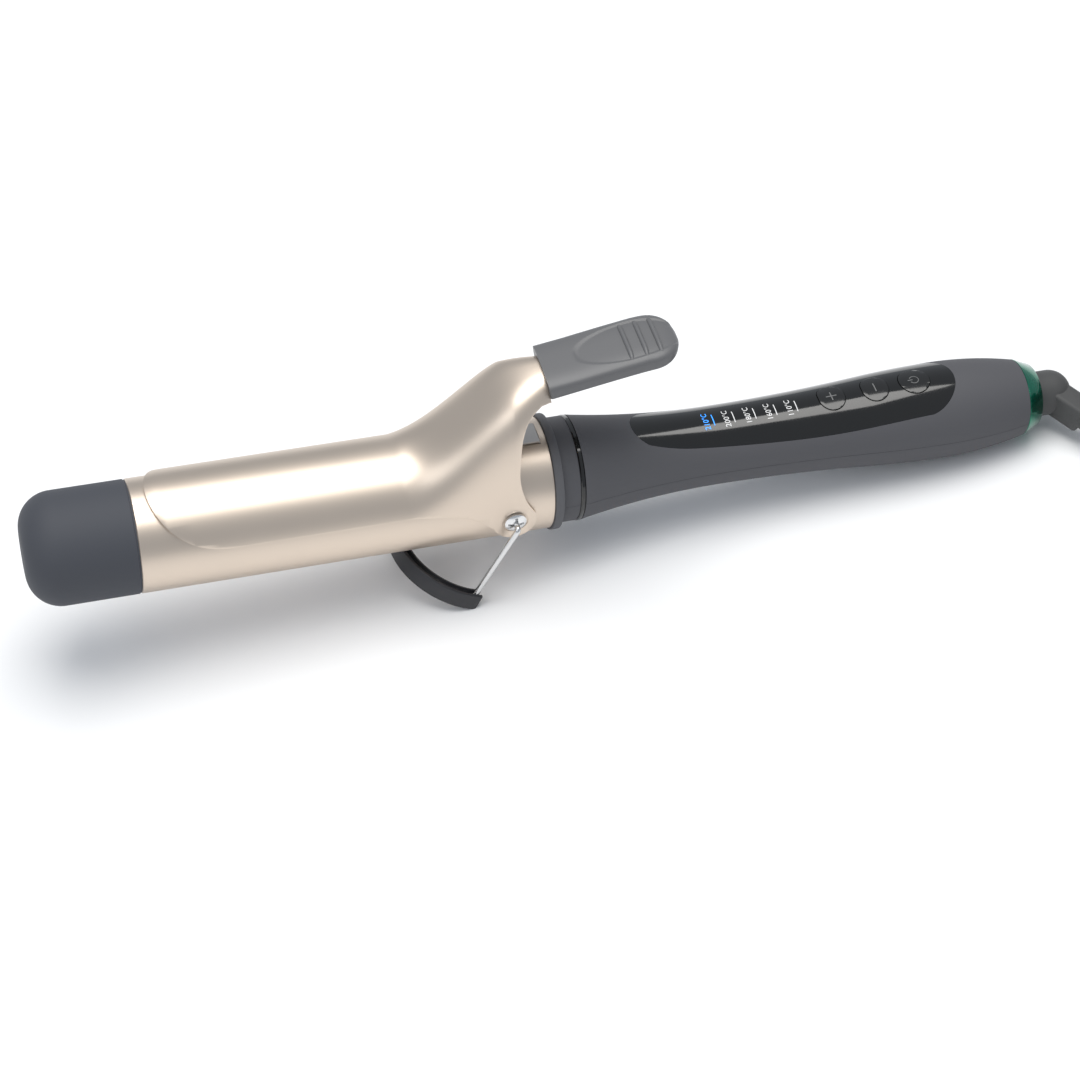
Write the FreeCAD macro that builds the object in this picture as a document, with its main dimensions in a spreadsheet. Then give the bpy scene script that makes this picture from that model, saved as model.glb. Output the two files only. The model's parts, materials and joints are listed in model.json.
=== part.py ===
import FreeCAD, Part
import math
import os

import Sketcher

# A curling iron with a spring clamp, a fold-back wire stand, a slim control handle and a
# swivel cord. It is drawn in the iron's own frame: the clamp pivot is the origin, the
# handle runs along +X, the tip along -X, and the clamp and the controls are on +Z. At the
# end every piece is pitched and lifted so that the iron rests on its stand at Z = 0.

Vector = FreeCAD.Vector
Rotation = FreeCAD.Rotation
Placement = FreeCAD.Placement
UP = Vector(0, 0, 1)
ACROSS = Vector(0, 1, 0)
ALONG = Vector(1, 0, 0)
ORIGIN = Vector(0, 0, 0)

SIZES = {
    # barrel and tip
    "barrel_radius": 19.0,
    "barrel_wall": 1.6,
    "barrel_reach": 124.0,
    "tip_length": 36.0,
    "tip_round": 11.5,
    "tip_wall": 2.2,
    "spigot_length": 9.0,
    "spigot_wall": 1.6,
    "slip_gap": 0.05,
    # heater
    "heater_front": 104.0,
    "heater_rear": 26.0,
    "heater_strip_width": 20.0,
    "heater_strip_thick": 3.2,
    "insulator_thick": 2.0,
    "sensor_radius": 1.3,
    "sensor_length": 9.0,
    "fuse_radius": 1.9,
    "fuse_length": 11.0,
    "fuse_rise": 4.0,
    "fuse_offset": 5.7,
    "sensor_rise": 2.0,
    "lead_radius": 0.9,
    "lead_spread": 5.6,
    "terminal_inset": 2.0,
    # pivot
    "screw_radius": 2.5,
    "screw_head_radius": 3.7,
    "screw_head_rise": 1.9,
    "dish_radius": 4.45,
    "dish_depth": 0.3,
    "running_gap": 0.05,
    "bracket_half_length": 6.0,
    "bracket_clear": 1.2,
    "bracket_corner": 2.5,
    "bracket_drop": 2.0,
    "bracket_cheek_top": 4.5,
    "bracket_foot_width": 3.5,
    "bracket_thick": 1.4,
    # collar and handle
    "collar_front": 14.2,
    "collar_back": 17.3,
    "collar_lip": 0.8,
    "band_radius": 17.9,
    "ring_front": 23.5,
    "ring_back": 25.2,
    "ring_radius": 18.1,
    "ring_depth": 1.4,
    "flare_radius": 18.0,
    "waist_place": 75.0,
    "waist_radius": 13.57,
    "bulb_place": 158.0,
    "bulb_radius": 16.8,
    "handle_back": 187.7,
    "handle_back_radius": 13.5,
    "bend_share": 0.66,
    "handle_wall": 2.0,
    "end_ring_back": 193.7,
    "end_ring_radius": 11.1,
    "end_ring_spigot": 5.6,
    # screws that hold the shells
    "front_boss_inset": 4.0,
    "rear_boss_inset": 7.0,
    "boss_radius": 3.2,
    "sleeve_radius": 4.2,
    "well_radius": 2.9,
    "well_floor": 6.0,
    "shell_screw_radius": 1.35,
    "shell_screw_reach": 7.0,
    "shell_screw_head": 2.7,
    "shell_screw_head_thick": 1.6,
    "shank_hole_radius": 1.5,
    "pilot_depth": 7.5,
    "cross_half_length": 1.5,
    "cross_half_width": 0.3,
    "cross_depth": 0.9,
    # control panel
    "lens_depth": 1.0,
    "lens_front": 44.9,
    "lens_back": 161.4,
    "lens_nose_radius": 7.9,
    "lens_tail_radius": 12.4,
    "lens_side_place": 92.0,
    "lens_side_half": 10.9,
    "window_front": 69.0,
    "window_back": 111.7,
    "window_half": 5.2,
    "scale_start": 75.8,
    "scale_pitch": 8.7,
    "board_level": 3.4,
    "board_thick": 1.6,
    "board_half": 8.6,
    "board_front": 60.0,
    "board_back": 156.0,
    "plus_place": 116.75,
    "minus_place": 132.4,
    "power_place": 146.8,
    "button_radius": 4.6,
    "button_half_straight": 0.9,
    "power_radius": 5.5,
    "button_gap": 0.22,
    "button_proud": 0.25,
    "button_travel": 0.6,
    "switch_rise": 3.5,
    "switch_half": 3.0,
    "nib_height": 1.0,
    "nib_radius": 1.6,
    "stem_radius": 1.5,
    "stem_gap": 0.1,
    "guide_depth": 2.4,
    "lamp_half_length": 1.0,
    "lamp_half_width": 1.6,
    "lamp_height": 1.2,
    "lamp_gap": 0.3,
    "last_lamp_inset": 1.7,
    "capacitor_place": 32.0,
    "capacitor_radius": 4.0,
    "capacitor_height": 9.0,
    "triac_front": 22.0,
    "triac_back": 12.0,
    "triac_half": 6.0,
    "triac_height": 4.4,
    "chip_front": 48.0,
    "chip_back": 58.0,
    "chip_half": 4.0,
    "chip_height": 1.6,
    # clamp lever
    "lever_gap": 0.4,
    "lever_thick": 1.0,
    "lever_nose": 119.3,
    "lever_nose_radius": 24.3,
    "lever_side_level": 7.4,
    "lever_ear_radius": 7.4,
    "neck_start": 36.0,
    "neck_crown": 46.0,
    "cap_front": 12.0,
    "cap_back": 57.0,
    "cap_half": 11.0,
    "cap_front_level": 42.6,
    "cap_seam_level": 43.4,
    "cap_depth": 7.4,
    "cap_rise_angle": 9.5,
    "tongue_half": 7.5,
    "tongue_thick": 1.4,
    "tongue_reach": 44.0,
    # clamp spring
    "spring_half": 4.3,
    "spring_thick": 0.6,
    "spring_front": 11.0,
    "spring_bend": 1.6,
    "fold_ease": 1.01,
    "spring_back": 12.0,
    "spring_top_place": 1.2,
    "spring_top_level": 41.2,
    "neck_square": 1.2,
    "neck_narrowing": 5.5,
    "cap_corner_radius": 26.0,
    # stand
    "wire_radius": 1.0,
    "wire_clear": 1.0,
    "stand_angle": 67.0,
    "stand_reach": 35.0,
    "foot_inner": 20.6,
    "foot_outer": 24.4,
    "foot_above": 2.4,
    "foot_below": 4.2,
    # rest pose
    "rest_pitch": 6.2,
    # swivel and elbow
    "swivel_flange_radius": 8.5,
    "swivel_flange_thick": 1.8,
    "swivel_neck_radius": 5.6,
    "swivel_gap": 0.3,
    "slip_ring_thick": 0.4,
    "slip_inner_start": 1.8,
    "slip_inner_end": 3.4,
    "slip_outer_start": 5.4,
    "slip_outer_end": 7.0,
    "contact_gap": 3.4,
    "contact_thick": 2.2,
    "brush_radius": 0.7,
    "supply_rise": 0.8,
    "elbow_hub_radius": 7.9,
    "elbow_hub_length": 9.5,
    "elbow_bend": 56.0,
    "elbow_droop": 5.0,
    "elbow_arm": 16.0,
    "elbow_width": 8.8,
    "elbow_height": 10.6,
    "relief_length": 20.0,
    "relief_start": 4.4,
    # cord and plug
    "cord_radius": 3.0,
    "tie_thick": 0.8,
    "tie_width": 12.0,
    "coil_inner": 18.0,
    "coil_outer": 45.0,
    "coil_low_layers": 2.0,
    "plug_length": 34.0,
    "plug_round": 4.5,
    "plug_width": 34.0,
    "plug_thick": 14.0,
    "pin_radius": 2.0,
    "pin_length": 19.0,
    "pin_spacing": 18.6,
    "plug_relief_length": 20.0,
    "plug_relief_radius": 5.2,
}

doc = FreeCAD.newDocument("CurlingIron")
sheet = doc.addObject("Spreadsheet::Sheet", "Sizes")
for row, (alias, amount) in enumerate(SIZES.items(), start=1):
    sheet.set(f"A{row}", alias)
    sheet.set(f"B{row}", str(amount))
    sheet.setAlias(f"B{row}", alias)
doc.recompute()

PIECES = []


def expand(text):
    """An expression with each alias written as Sizes.alias, so that any object can use it."""
    words = str(text).replace("(", " ( ").replace(")", " ) ").split()
    named = " ".join(f"Sizes.{word}" if word in SIZES else word for word in words)
    return named.replace("sqrt (", "sqrt(")


def value(text):
    """The value, in mm or degrees, of an expression written with bare aliases."""
    return float(sheet.evalExpression(expand(text)))


def bind(thing, **expressions):
    """Ties properties of a document object to expressions on the sheet."""
    for name, text in expressions.items():
        thing.setExpression(name.replace("__", "."), expand(text))
    return thing


def keep(thing, label):
    """Marks an object as a finished piece, with its label as its file name."""
    if thing.TypeId in ("Part::Box", "Part::Cylinder"):
        thing = group(label + "_piece", thing)
    thing.Label = label
    PIECES.append(thing)
    return thing


def made(label, shape):
    """A piece whose shape is worked out with Part's own functions."""
    feature = doc.addObject("Part::Feature", label + "_shape")
    feature.Shape = shape
    return keep(feature, label)


# ---------------------------------------------------------------------------
# sketch outlines, turned bodies and plain bars
# ---------------------------------------------------------------------------


def arc_middle(start, end, radius, side):
    """The middle point of an arc of the given radius, on the left (+1) or right (-1)."""
    chord = end - start
    half = chord.Length / 2
    rise = radius - math.sqrt(max(radius * radius - half * half, 0.0))
    normal = Vector(-chord.y, chord.x, 0).normalize()
    return (start + end) * 0.5 + normal * (rise * side)


def draw_outline(sketch, corners):
    """Draws a closed outline whose corners and arc radii are bound to the sheet.

    Each corner is (x, y) or (x, y, radius, side), where radius bends the edge that runs
    from this corner to the next one, to the left (+1) or the right (-1) of travel.
    """
    spots = [Vector(value(corner[0]), value(corner[1]), 0) for corner in corners]
    edges = []
    for index, corner in enumerate(corners):
        start = spots[index]
        end = spots[(index + 1) % len(spots)]
        if len(corner) == 2:
            edge = sketch.addGeometry(Part.LineSegment(start, end), False)
            edges.append((edge, 1, 2))
            continue
        middle = arc_middle(start, end, value(corner[2]), corner[3])
        edge = sketch.addGeometry(Part.Arc(start, middle, end), False)
        forward = (sketch.getPoint(edge, 1) - start).Length < (sketch.getPoint(edge, 2) - start).Length
        edges.append((edge, 1, 2) if forward else (edge, 2, 1))
    for index, corner in enumerate(corners):
        edge, first, last = edges[index]
        after, after_first, after_last = edges[(index + 1) % len(edges)]
        sketch.addConstraint(Sketcher.Constraint("Coincident", edge, last, after, after_first))
        for kind, text, axis in (("DistanceX", corner[0], -2), ("DistanceY", corner[1], -1)):
            if abs(value(text)) < 1e-9:
                sketch.addConstraint(Sketcher.Constraint("PointOnObject", edge, first, axis))
                continue
            rule = sketch.addConstraint(Sketcher.Constraint(kind, -1, 1, edge, first, value(text)))
            sketch.setExpression(f"Constraints[{rule}]", expand(text))
        if len(corner) > 2:
            rule = sketch.addConstraint(Sketcher.Constraint("Radius", edge, value(corner[2])))
            sketch.setExpression(f"Constraints[{rule}]", expand(corner[2]))


def new_sketch(body, plane, name):
    """A sketch on one of the body's own origin planes."""
    sketch = body.newObject("Sketcher::SketchObject", name)
    sketch.AttachmentSupport = [(part_of(body, plane), "")]
    sketch.MapMode = "FlatFace"
    return sketch


def part_of(body, role):
    """The origin plane or axis of a body that has the given role."""
    return next(item for item in body.Origin.OriginFeatures if item.Role == role)


def turned(name, corners, angle=360.0, upright=True):
    """A body turned about the iron's axis from an outline of (place, radius) corners."""
    body = doc.addObject("PartDesign::Body", name)
    sketch = new_sketch(body, "XZ_Plane", name + "_outline")
    sign = "" if upright else "-"
    flipped = [(c[0], f"{sign} ( {c[1]} )", *c[2:]) for c in corners]
    if not upright:
        flipped = [(*c[:3], -c[3]) if len(c) > 2 else c for c in flipped]
    draw_outline(sketch, flipped)
    turn = body.newObject("PartDesign::Revolution", name + "_turn")
    turn.Profile = sketch
    turn.ReferenceAxis = (sketch, ["H_Axis"])
    turn.Angle = angle
    turn.Midplane = angle < 360.0
    body.Tip = turn
    return body


def plate(name, plane, corners, thickness, both_ways=True, start="0"):
    """A body padded from an outline on an origin plane, by a thickness from the sheet."""
    body = doc.addObject("PartDesign::Body", name)
    sketch = new_sketch(body, plane, name + "_outline")
    draw_outline(sketch, corners)
    if str(start) != "0":
        sketch.setExpression("AttachmentOffset.Base.z", expand(start))
    pad = body.newObject("PartDesign::Pad", name + "_pad")
    pad.Profile = sketch
    pad.Midplane = both_ways
    pad.setExpression("Length", expand(thickness))
    body.Tip = pad
    return body


def bar(name, axis, start, end, radius, x="0", y="0", z="0"):
    """A round bar along X, Y or Z, from start to end, with every size bound."""
    turns = {"X": Rotation(ACROSS, 90), "Y": Rotation(ALONG, -90), "Z": Rotation()}
    solid = doc.addObject("Part::Cylinder", name)
    solid.Placement = Placement(ORIGIN, turns[axis])
    places = {"x": x, "y": y, "z": z}
    places[axis.lower()] = start
    bind(solid, Radius=radius, Height=f"{end} - ( {start} )")
    for direction, text in places.items():
        solid.setExpression(f"Placement.Base.{direction}", expand(text))
    return solid


def block(name, x, y, z):
    """A rectangular block between (low, high) pairs of bound expressions."""
    solid = doc.addObject("Part::Box", name)
    for prop, direction, (low, high) in (("Length", "x", x), ("Width", "y", y), ("Height", "z", z)):
        solid.setExpression(prop, expand(f"{high} - ( {low} )"))
        solid.setExpression(f"Placement.Base.{direction}", expand(low))
    return solid


def fused(name, *things):
    """One object fused from several."""
    joined = doc.addObject("Part::MultiFuse", name)
    joined.Shapes = list(things)
    return joined


def cut(name, base, *tools):
    """One object with others cut from it."""
    result = doc.addObject("Part::Cut", name)
    result.Base = base
    result.Tool = tools[0] if len(tools) == 1 else fused(name + "_tools", *tools)
    return result


def shared(name, first, second):
    """What two objects have in common."""
    result = doc.addObject("Part::MultiCommon", name)
    result.Shapes = [first, second]
    return result


def group(name, *things):
    """Separate solids kept in one object."""
    result = doc.addObject("Part::Compound", name)
    result.Links = list(things)
    return result


def tube(name, start, end, outer, inner):
    """A turned ring or tube on the iron's axis."""
    return turned(name, [(start, inner), (end, inner), (end, outer), (start, outer)])


# ---------------------------------------------------------------------------
# sizes that follow from others, as expressions
# ---------------------------------------------------------------------------

BARREL_BORE = "barrel_radius - barrel_wall"
SPIGOT_RADIUS = f"{BARREL_BORE} - slip_gap"
LEVER_INNER = "barrel_radius + lever_gap"
LEVER_OUTER = f"{LEVER_INNER} + lever_thick"
RUN = "bulb_place - waist_place"
RISE = "bulb_radius - waist_radius"
REACH_OF_ARCS = f"( ( {RUN} ) ^ 2 + ( {RISE} ) ^ 2 ) / ( 2 * ( {RISE} ) )"
WAIST_BEND = f"( {REACH_OF_ARCS} ) * bend_share"
BULB_BEND = f"( {REACH_OF_ARCS} ) * ( 1 - bend_share )"
MIDWAY = f"waist_place + ( {RUN} ) * bend_share"
MIDWAY_RADIUS = f"waist_radius + ( {RISE} ) * bend_share"
FLARE_RUN = "waist_place - ring_back"
FLARE_RISE = "flare_radius - waist_radius"
FLARE_BEND = f"( ( {FLARE_RUN} ) ^ 2 + ( {FLARE_RISE} ) ^ 2 ) / ( 2 * ( {FLARE_RISE} ) )"
TAIL_RUN = "handle_back - bulb_place"
TAIL_RISE = "bulb_radius - handle_back_radius"
TAIL_BEND = f"( ( {TAIL_RUN} ) ^ 2 + ( {TAIL_RISE} ) ^ 2 ) / ( 2 * ( {TAIL_RISE} ) )"


def handle_radius(place):
    """The handle's outside radius at a place between the waist and its back end."""
    near = f"waist_radius + {WAIST_BEND} - sqrt ( ( {WAIST_BEND} ) ^ 2 - ( {place} - waist_place ) ^ 2 )"
    if value(place) < value(MIDWAY):
        return near
    if value(place) < value("bulb_place"):
        bend = BULB_BEND
    else:
        bend = TAIL_BEND
    return f"bulb_radius - {bend} + sqrt ( ( {bend} ) ^ 2 - ( bulb_place - ( {place} ) ) ^ 2 )"


def handle_line(inset):
    """The corners of the handle's long curve, from its back end to the ring groove."""
    return [
        ("handle_back", f"handle_back_radius - {inset}", f"{TAIL_BEND} - {inset}", -1),
        ("bulb_place", f"bulb_radius - {inset}", f"{BULB_BEND} - {inset}", -1),
        (MIDWAY, f"{MIDWAY_RADIUS} - {inset}", f"{WAIST_BEND} + {inset}", 1),
        ("waist_place", f"waist_radius - {inset}", f"{FLARE_BEND} + {inset}", 1),
        ("ring_back", f"flare_radius - {inset}"),
    ]


# ---------------------------------------------------------------------------
# barrel, tip and heater
# ---------------------------------------------------------------------------


def build_barrel():
    """The hot tube, with its two pivot holes and the slot that the clamp spring hooks into."""
    wall = tube("barrel_wall_body", "0 - barrel_reach", "collar_front", "barrel_radius", BARREL_BORE)
    past = "barrel_radius + 1"
    holes = bar("barrel_holes", "Y", f"0 - ( {past} )", past, "screw_radius + running_gap")
    slot = block(
        "barrel_slot",
        ("spring_back - spring_thick - slip_gap", "spring_back + slip_gap"),
        ("0 - spring_half - slip_gap", "spring_half + slip_gap"),
        (f"{BARREL_BORE} - 2", "barrel_radius + 1"),
    )
    return keep(cut("barrel_cut", wall, holes, slot), "barrel_tube")


def build_tip():
    """The cool tip: a domed cap with a spigot that plugs the end of the barrel."""
    nose = "0 - barrel_reach - tip_length"
    seam = "0 - barrel_reach"
    inner = "barrel_radius - tip_wall"
    corners = [
        (nose, "0"),
        (nose, "barrel_radius - tip_round", "tip_round", 1),
        (f"{nose} + tip_round", "barrel_radius"),
        (seam, "barrel_radius"),
        (seam, SPIGOT_RADIUS),
        (f"{seam} + spigot_length", SPIGOT_RADIUS),
        (f"{seam} + spigot_length", f"{SPIGOT_RADIUS} - spigot_wall"),
        (f"{seam} - tip_wall", f"{SPIGOT_RADIUS} - spigot_wall"),
        (f"{seam} - tip_wall", inner),
        (f"{nose} + tip_round", inner, "tip_round - tip_wall", -1),
        (f"{nose} + tip_wall", "barrel_radius - tip_round"),
        (f"{nose} + tip_wall", "0"),
    ]
    return keep(turned("cool_tip_body", corners), "cool_tip")


def build_heater():
    """The ceramic heater strip between two half-round blocks, its sensor, fuse and leads."""
    disc_front = "0 - barrel_reach + spigot_length + slip_gap"
    disc = turned(
        "insulator_body",
        [
            (disc_front, "0"),
            (f"{disc_front} + insulator_thick", "0"),
            (f"{disc_front} + insulator_thick", SPIGOT_RADIUS),
            (disc_front, SPIGOT_RADIUS),
        ],
    )
    keep(disc, "tip_insulator")
    lengthwise = ("0 - heater_front", "0 - heater_rear")
    half = "heater_strip_thick / 2"
    wide = ("0 - barrel_radius", "barrel_radius")
    sensor_level = f"{half} + sensor_radius + sensor_rise"
    sensor = ("0 - heater_rear - sensor_length", "0 - heater_rear")
    past = f"{sensor[1]} + 1"
    sensor_hole = bar("sensor_hole", "X", sensor[0], past, "sensor_radius + slip_gap", z=sensor_level)
    for label, low, high in (
        ("heater_block_upper", half, "barrel_radius"),
        ("heater_block_lower", "0 - barrel_radius", f"0 - {half}"),
    ):
        core = bar(label + "_core", "X", lengthwise[0], lengthwise[1], SPIGOT_RADIUS)
        side = block(label + "_side", lengthwise, wide, (low, high))
        made_half = shared(label + "_half", core, side)
        if label.endswith("upper"):
            made_half = cut(label + "_bored", made_half, sensor_hole)
        keep(made_half, label)
    strip_half = "heater_strip_width / 2"
    strip = block("strip_block", lengthwise, (f"0 - {strip_half}", strip_half), (f"0 - {half}", half))
    keep(strip, "ceramic_heater")
    bead = bar("sensor_bar", "X", sensor[0], sensor[1], "sensor_radius", z=sensor_level)
    keep(bead, "temperature_sensor")
    fuse_level = f"{half} + fuse_radius + fuse_rise"
    fuse = bar(
        "fuse_bar",
        "X",
        "0 - heater_rear",
        "0 - heater_rear + fuse_length",
        "fuse_radius",
        y="fuse_offset",
        z=fuse_level,
    )
    keep(fuse, "thermal_fuse")
    leads = []
    terminal = "board_front + terminal_inset"
    for side, sign in (("left", "0 +"), ("right", "0 -")):
        spread = f"{sign} lead_spread"
        wire = bar(f"heater_lead_{side}", "X", "0 - heater_rear", terminal, "lead_radius", y=spread)
        post = bar(f"heater_post_{side}", "Z", "0", "board_level", "lead_radius", x=terminal, y=spread)
        leads.append(fused(f"heater_wire_{side}", wire, post))
    keep(group("lead_pair", *leads), "heater_leads")


def build_pivot():
    """The U bracket inside the barrel and the two hollow screws that the clamp turns on."""
    outside = f"{BARREL_BORE} - bracket_clear"
    inside = f"{outside} - bracket_thick"
    length = ("0 - bracket_half_length", "bracket_half_length")
    floor_level = "0 - bracket_half_length - bracket_drop"
    web_reach = f"{outside} - bracket_corner"
    web_height = (floor_level, f"{floor_level} + bracket_thick")
    web = block("bracket_web", length, (f"0 - ( {web_reach} )", web_reach), web_height)
    cheek_height = (f"{floor_level} + bracket_corner", "bracket_cheek_top")
    foot_height = (floor_level, f"{floor_level} + bracket_corner")
    foot_inside = f"{outside} - bracket_foot_width"
    cheeks = [
        block("bracket_cheek_left", length, (inside, outside), cheek_height),
        block("bracket_cheek_right", length, (f"0 - ( {outside} )", f"0 - ( {inside} )"), cheek_height),
    ]
    feet = [
        block("bracket_foot_left", length, (foot_inside, outside), foot_height),
        block("bracket_foot_right", length, (f"0 - ( {outside} )", f"0 - ( {foot_inside} )"), foot_height),
    ]
    limit = bar("bracket_limit", "X", length[0], length[1], SPIGOT_RADIUS)
    blank = shared("bracket_blank", fused("bracket_fused", web, *cheeks, *feet), limit)
    holes = bar("bracket_holes", "Y", f"0 - ( {BARREL_BORE} )", BARREL_BORE, "screw_radius + running_gap")
    keep(cut("bracket_cut", blank, holes), "pivot_bracket")
    screws = []
    for side, sign in (("left", 1), ("right", -1)):
        screws.append(pivot_screw(side, sign))
    made("pivot_screws", Part.makeCompound(screws))


def pivot_screw(side, sign):
    """One hollow screw: a shank, a domed head with a cross recess, and the wire's bore."""
    shank = value("screw_radius")
    head = value("screw_head_radius")
    rise = value("screw_head_rise")
    seat = value(f"{LEVER_OUTER} - dish_depth + running_gap")
    start = value(f"{BARREL_BORE} - bracket_clear - bracket_thick")
    solid = Part.makeCylinder(shank, seat - start, ACROSS * start, ACROSS)
    edge = rise * 0.45
    disc = Part.makeCylinder(head, edge, ACROSS * seat, ACROSS)
    crown = rise - edge
    ball = (head * head + crown * crown) / (2 * crown)
    dome = Part.makeSphere(ball, ACROSS * (seat + edge + crown - ball))
    beyond = Part.makeCylinder(head, crown, ACROSS * (seat + edge), ACROSS)
    solid = solid.fuse([disc, dome.common(beyond)]).removeSplitter()
    slot_half = value("wire_radius") * 0.55
    for long_half, short_half in ((head * 0.72, slot_half), (slot_half, head * 0.72)):
        corner = Vector(-long_half, seat + edge * 0.8, -short_half)
        solid = solid.cut(Part.makeBox(2 * long_half, rise * 2, 2 * short_half, corner))
    bore_radius = value("wire_radius + running_gap")
    bore = Part.makeCylinder(bore_radius, seat + 2 * rise - start, ACROSS * (start - 1), ACROSS)
    solid = solid.cut(bore)
    return solid if sign > 0 else solid.mirror(ORIGIN, ACROSS)


# ---------------------------------------------------------------------------
# collar, handle and controls
# ---------------------------------------------------------------------------


def build_collar():
    """The smooth heat collar between barrel and handle, with a spigot each way."""
    front_spigot = "collar_front - spigot_length + 2.5"
    back_spigot = "collar_back + spigot_length / 2"
    bore = f"{SPIGOT_RADIUS} - 5.4"
    fit = "band_radius - handle_wall - slip_gap"
    corners = [
        (front_spigot, bore),
        (back_spigot, bore),
        (back_spigot, fit),
        ("collar_back", fit),
        ("collar_back", "barrel_radius + collar_lip"),
        ("collar_front", "barrel_radius + collar_lip"),
        ("collar_front", SPIGOT_RADIUS),
        (front_spigot, SPIGOT_RADIUS),
    ]
    keep(turned("collar_body", corners), "heat_collar")


def lens_outline(name, grow, thickness):
    """A teardrop block that stands over the control panel, grown all round by a gap."""
    nose = f"lens_nose_radius + {grow}"
    tail = f"lens_tail_radius + {grow}"
    side = f"lens_side_half + {grow}"
    nose_centre = "lens_front + lens_nose_radius"
    tail_centre = "lens_back - lens_tail_radius"
    # the long side passes through the nose's widest point, the side place and the tail's
    near = Vector(value(nose_centre), value(nose), 0)
    middle = Vector(value("lens_side_place"), value(side), 0)
    far = Vector(value(tail_centre), value(tail), 0)
    top = value("bulb_radius") + thickness
    tip = Vector(value(f"lens_front - {grow}"), 0, 0)
    tail_end = Vector(value(f"lens_back + {grow}"), 0, 0)
    near_low, middle_low, far_low = (Vector(spot.x, -spot.y, 0) for spot in (near, middle, far))
    edges = [
        Part.Arc(near, middle, far).toShape(),
        Part.Arc(far, tail_end, far_low).toShape(),
        Part.Arc(far_low, middle_low, near_low).toShape(),
        Part.Arc(near_low, tip, near).toShape(),
    ]
    face = Part.Face(Part.Wire(edges))
    prism = doc.addObject("Part::Feature", name)
    prism.Shape = face.extrude(UP * top)
    return prism


def handle_solid(name, inset):
    """A solid of the handle's shape, inset by an expression, behind the ring groove."""
    return turned(name, [("ring_back", "0"), ("handle_back", "0"), *handle_line(inset)])


def button_block(name, label, low, high, grow):
    """An upright block with a button's outline: oval for the pair, round for power."""
    place = f"{label}_place"
    if label == "power":
        return bar(name, "Z", low, high, f"power_radius + {grow}", x=place)
    radius = f"button_radius + {grow}"
    ends = [
        bar(f"{name}_{side}", "Z", low, high, radius, x=place, y=f"{sign} button_half_straight")
        for side, sign in (("near", "0 -"), ("far", "0 +"))
    ]
    middle = block(
        name + "_middle",
        (f"{place} - ( {radius} )", f"{place} + {radius}"),
        ("0 - button_half_straight", "button_half_straight"),
        (low, high),
    )
    return fused(name, middle, *ends)


BUTTONS = ("plus", "minus", "power")
LAMP_COUNT = 5
BOARD_TOP = "board_level + board_thick"
SWITCH_TOP = f"{BOARD_TOP} + switch_rise"
SCREW_PLACES = {"front": "lens_front + front_boss_inset", "rear": "lens_back + rear_boss_inset"}


def shell_half(name, upper):
    """One half of the handle, turned through half a turn from its wall's outline."""
    bore = "band_radius - handle_wall"
    corners = [
        ("collar_back", bore),
        ("ring_back", bore),
        ("ring_back", "flare_radius - handle_wall", f"{FLARE_BEND} + handle_wall", -1),
        ("waist_place", "waist_radius - handle_wall", f"{WAIST_BEND} + handle_wall", -1),
        (MIDWAY, f"{MIDWAY_RADIUS} - handle_wall", f"{BULB_BEND} - handle_wall", 1),
        ("bulb_place", "bulb_radius - handle_wall", f"{TAIL_BEND} - handle_wall", 1),
        ("handle_back", "handle_back_radius - handle_wall"),
        *handle_line("0"),
        ("ring_back", "ring_radius - ring_depth"),
        ("ring_front", "ring_radius - ring_depth"),
        ("ring_front", "band_radius"),
        ("collar_back", "band_radius"),
    ]
    return turned(name, corners, angle=180.0, upright=upper)


def build_shells():
    """The two handle shells: the upper one carries the panel, the lower one the screws."""
    upper = shell_half("upper_wall", True)
    lower = shell_half("lower_wall", False)
    skin = cut("lens_skin", handle_solid("lens_outside", "0"), handle_solid("lens_inside", "lens_depth"))
    recess = shared("lens_recess", skin, lens_outline("recess_prism", "slip_gap", 1.0))
    window = block(
        "scale_window",
        ("window_front", "window_back"),
        ("0 - window_half", "window_half"),
        ("0", "bulb_radius + 1"),
    )
    beyond = "bulb_radius + 2"
    holes = [button_block(f"{label}_hole", label, "0", beyond, "button_gap") for label in BUTTONS]
    bosses = []
    pilots = []
    pilot_radius = "shell_screw_radius + slip_gap"
    for label, place in SCREW_PLACES.items():
        depth = f"{handle_radius_any(place)} - handle_wall / 2"
        bosses.append(bar(f"{label}_boss", "Z", "0", depth, "boss_radius", x=place))
        pilots.append(bar(f"{label}_pilot", "Z", "0 - 1", "pilot_depth", pilot_radius, x=place))
    posts = fused("upper_with_bosses", upper, *bosses)
    keep(cut("upper_cut", posts, recess, window, *holes, *pilots), "handle_upper_shell")
    sleeves = []
    wells = []
    screws = []
    for label, place in SCREW_PLACES.items():
        depth = f"{handle_radius_any(place)} - handle_wall / 2"
        low = "0 - bulb_radius - 1"
        sleeves.append(bar(f"{label}_sleeve", "Z", f"0 - ( {depth} )", "0", "sleeve_radius", x=place))
        wells.append(bar(f"{label}_well", "Z", low, "0 - well_floor", "well_radius", x=place))
        wells.append(bar(f"{label}_shank_hole", "Z", low, "1", "shank_hole_radius + slip_gap", x=place))
        screws.append(shell_screw(label, place))
    keep(cut("lower_cut", fused("lower_with_sleeves", lower, *sleeves), *wells), "handle_lower_shell")
    keep(group("screw_set", *screws), "shell_screws")
    lens_body = shared("lens_body", skin, lens_outline("lens_prism", "0", 1.0))
    lens_holes = [
        button_block(f"lens_{label}_hole", label, "0", "bulb_radius + 2", "button_gap") for label in BUTTONS
    ]
    keep(cut("lens_cut", lens_body, *lens_holes), "control_lens")


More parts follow.
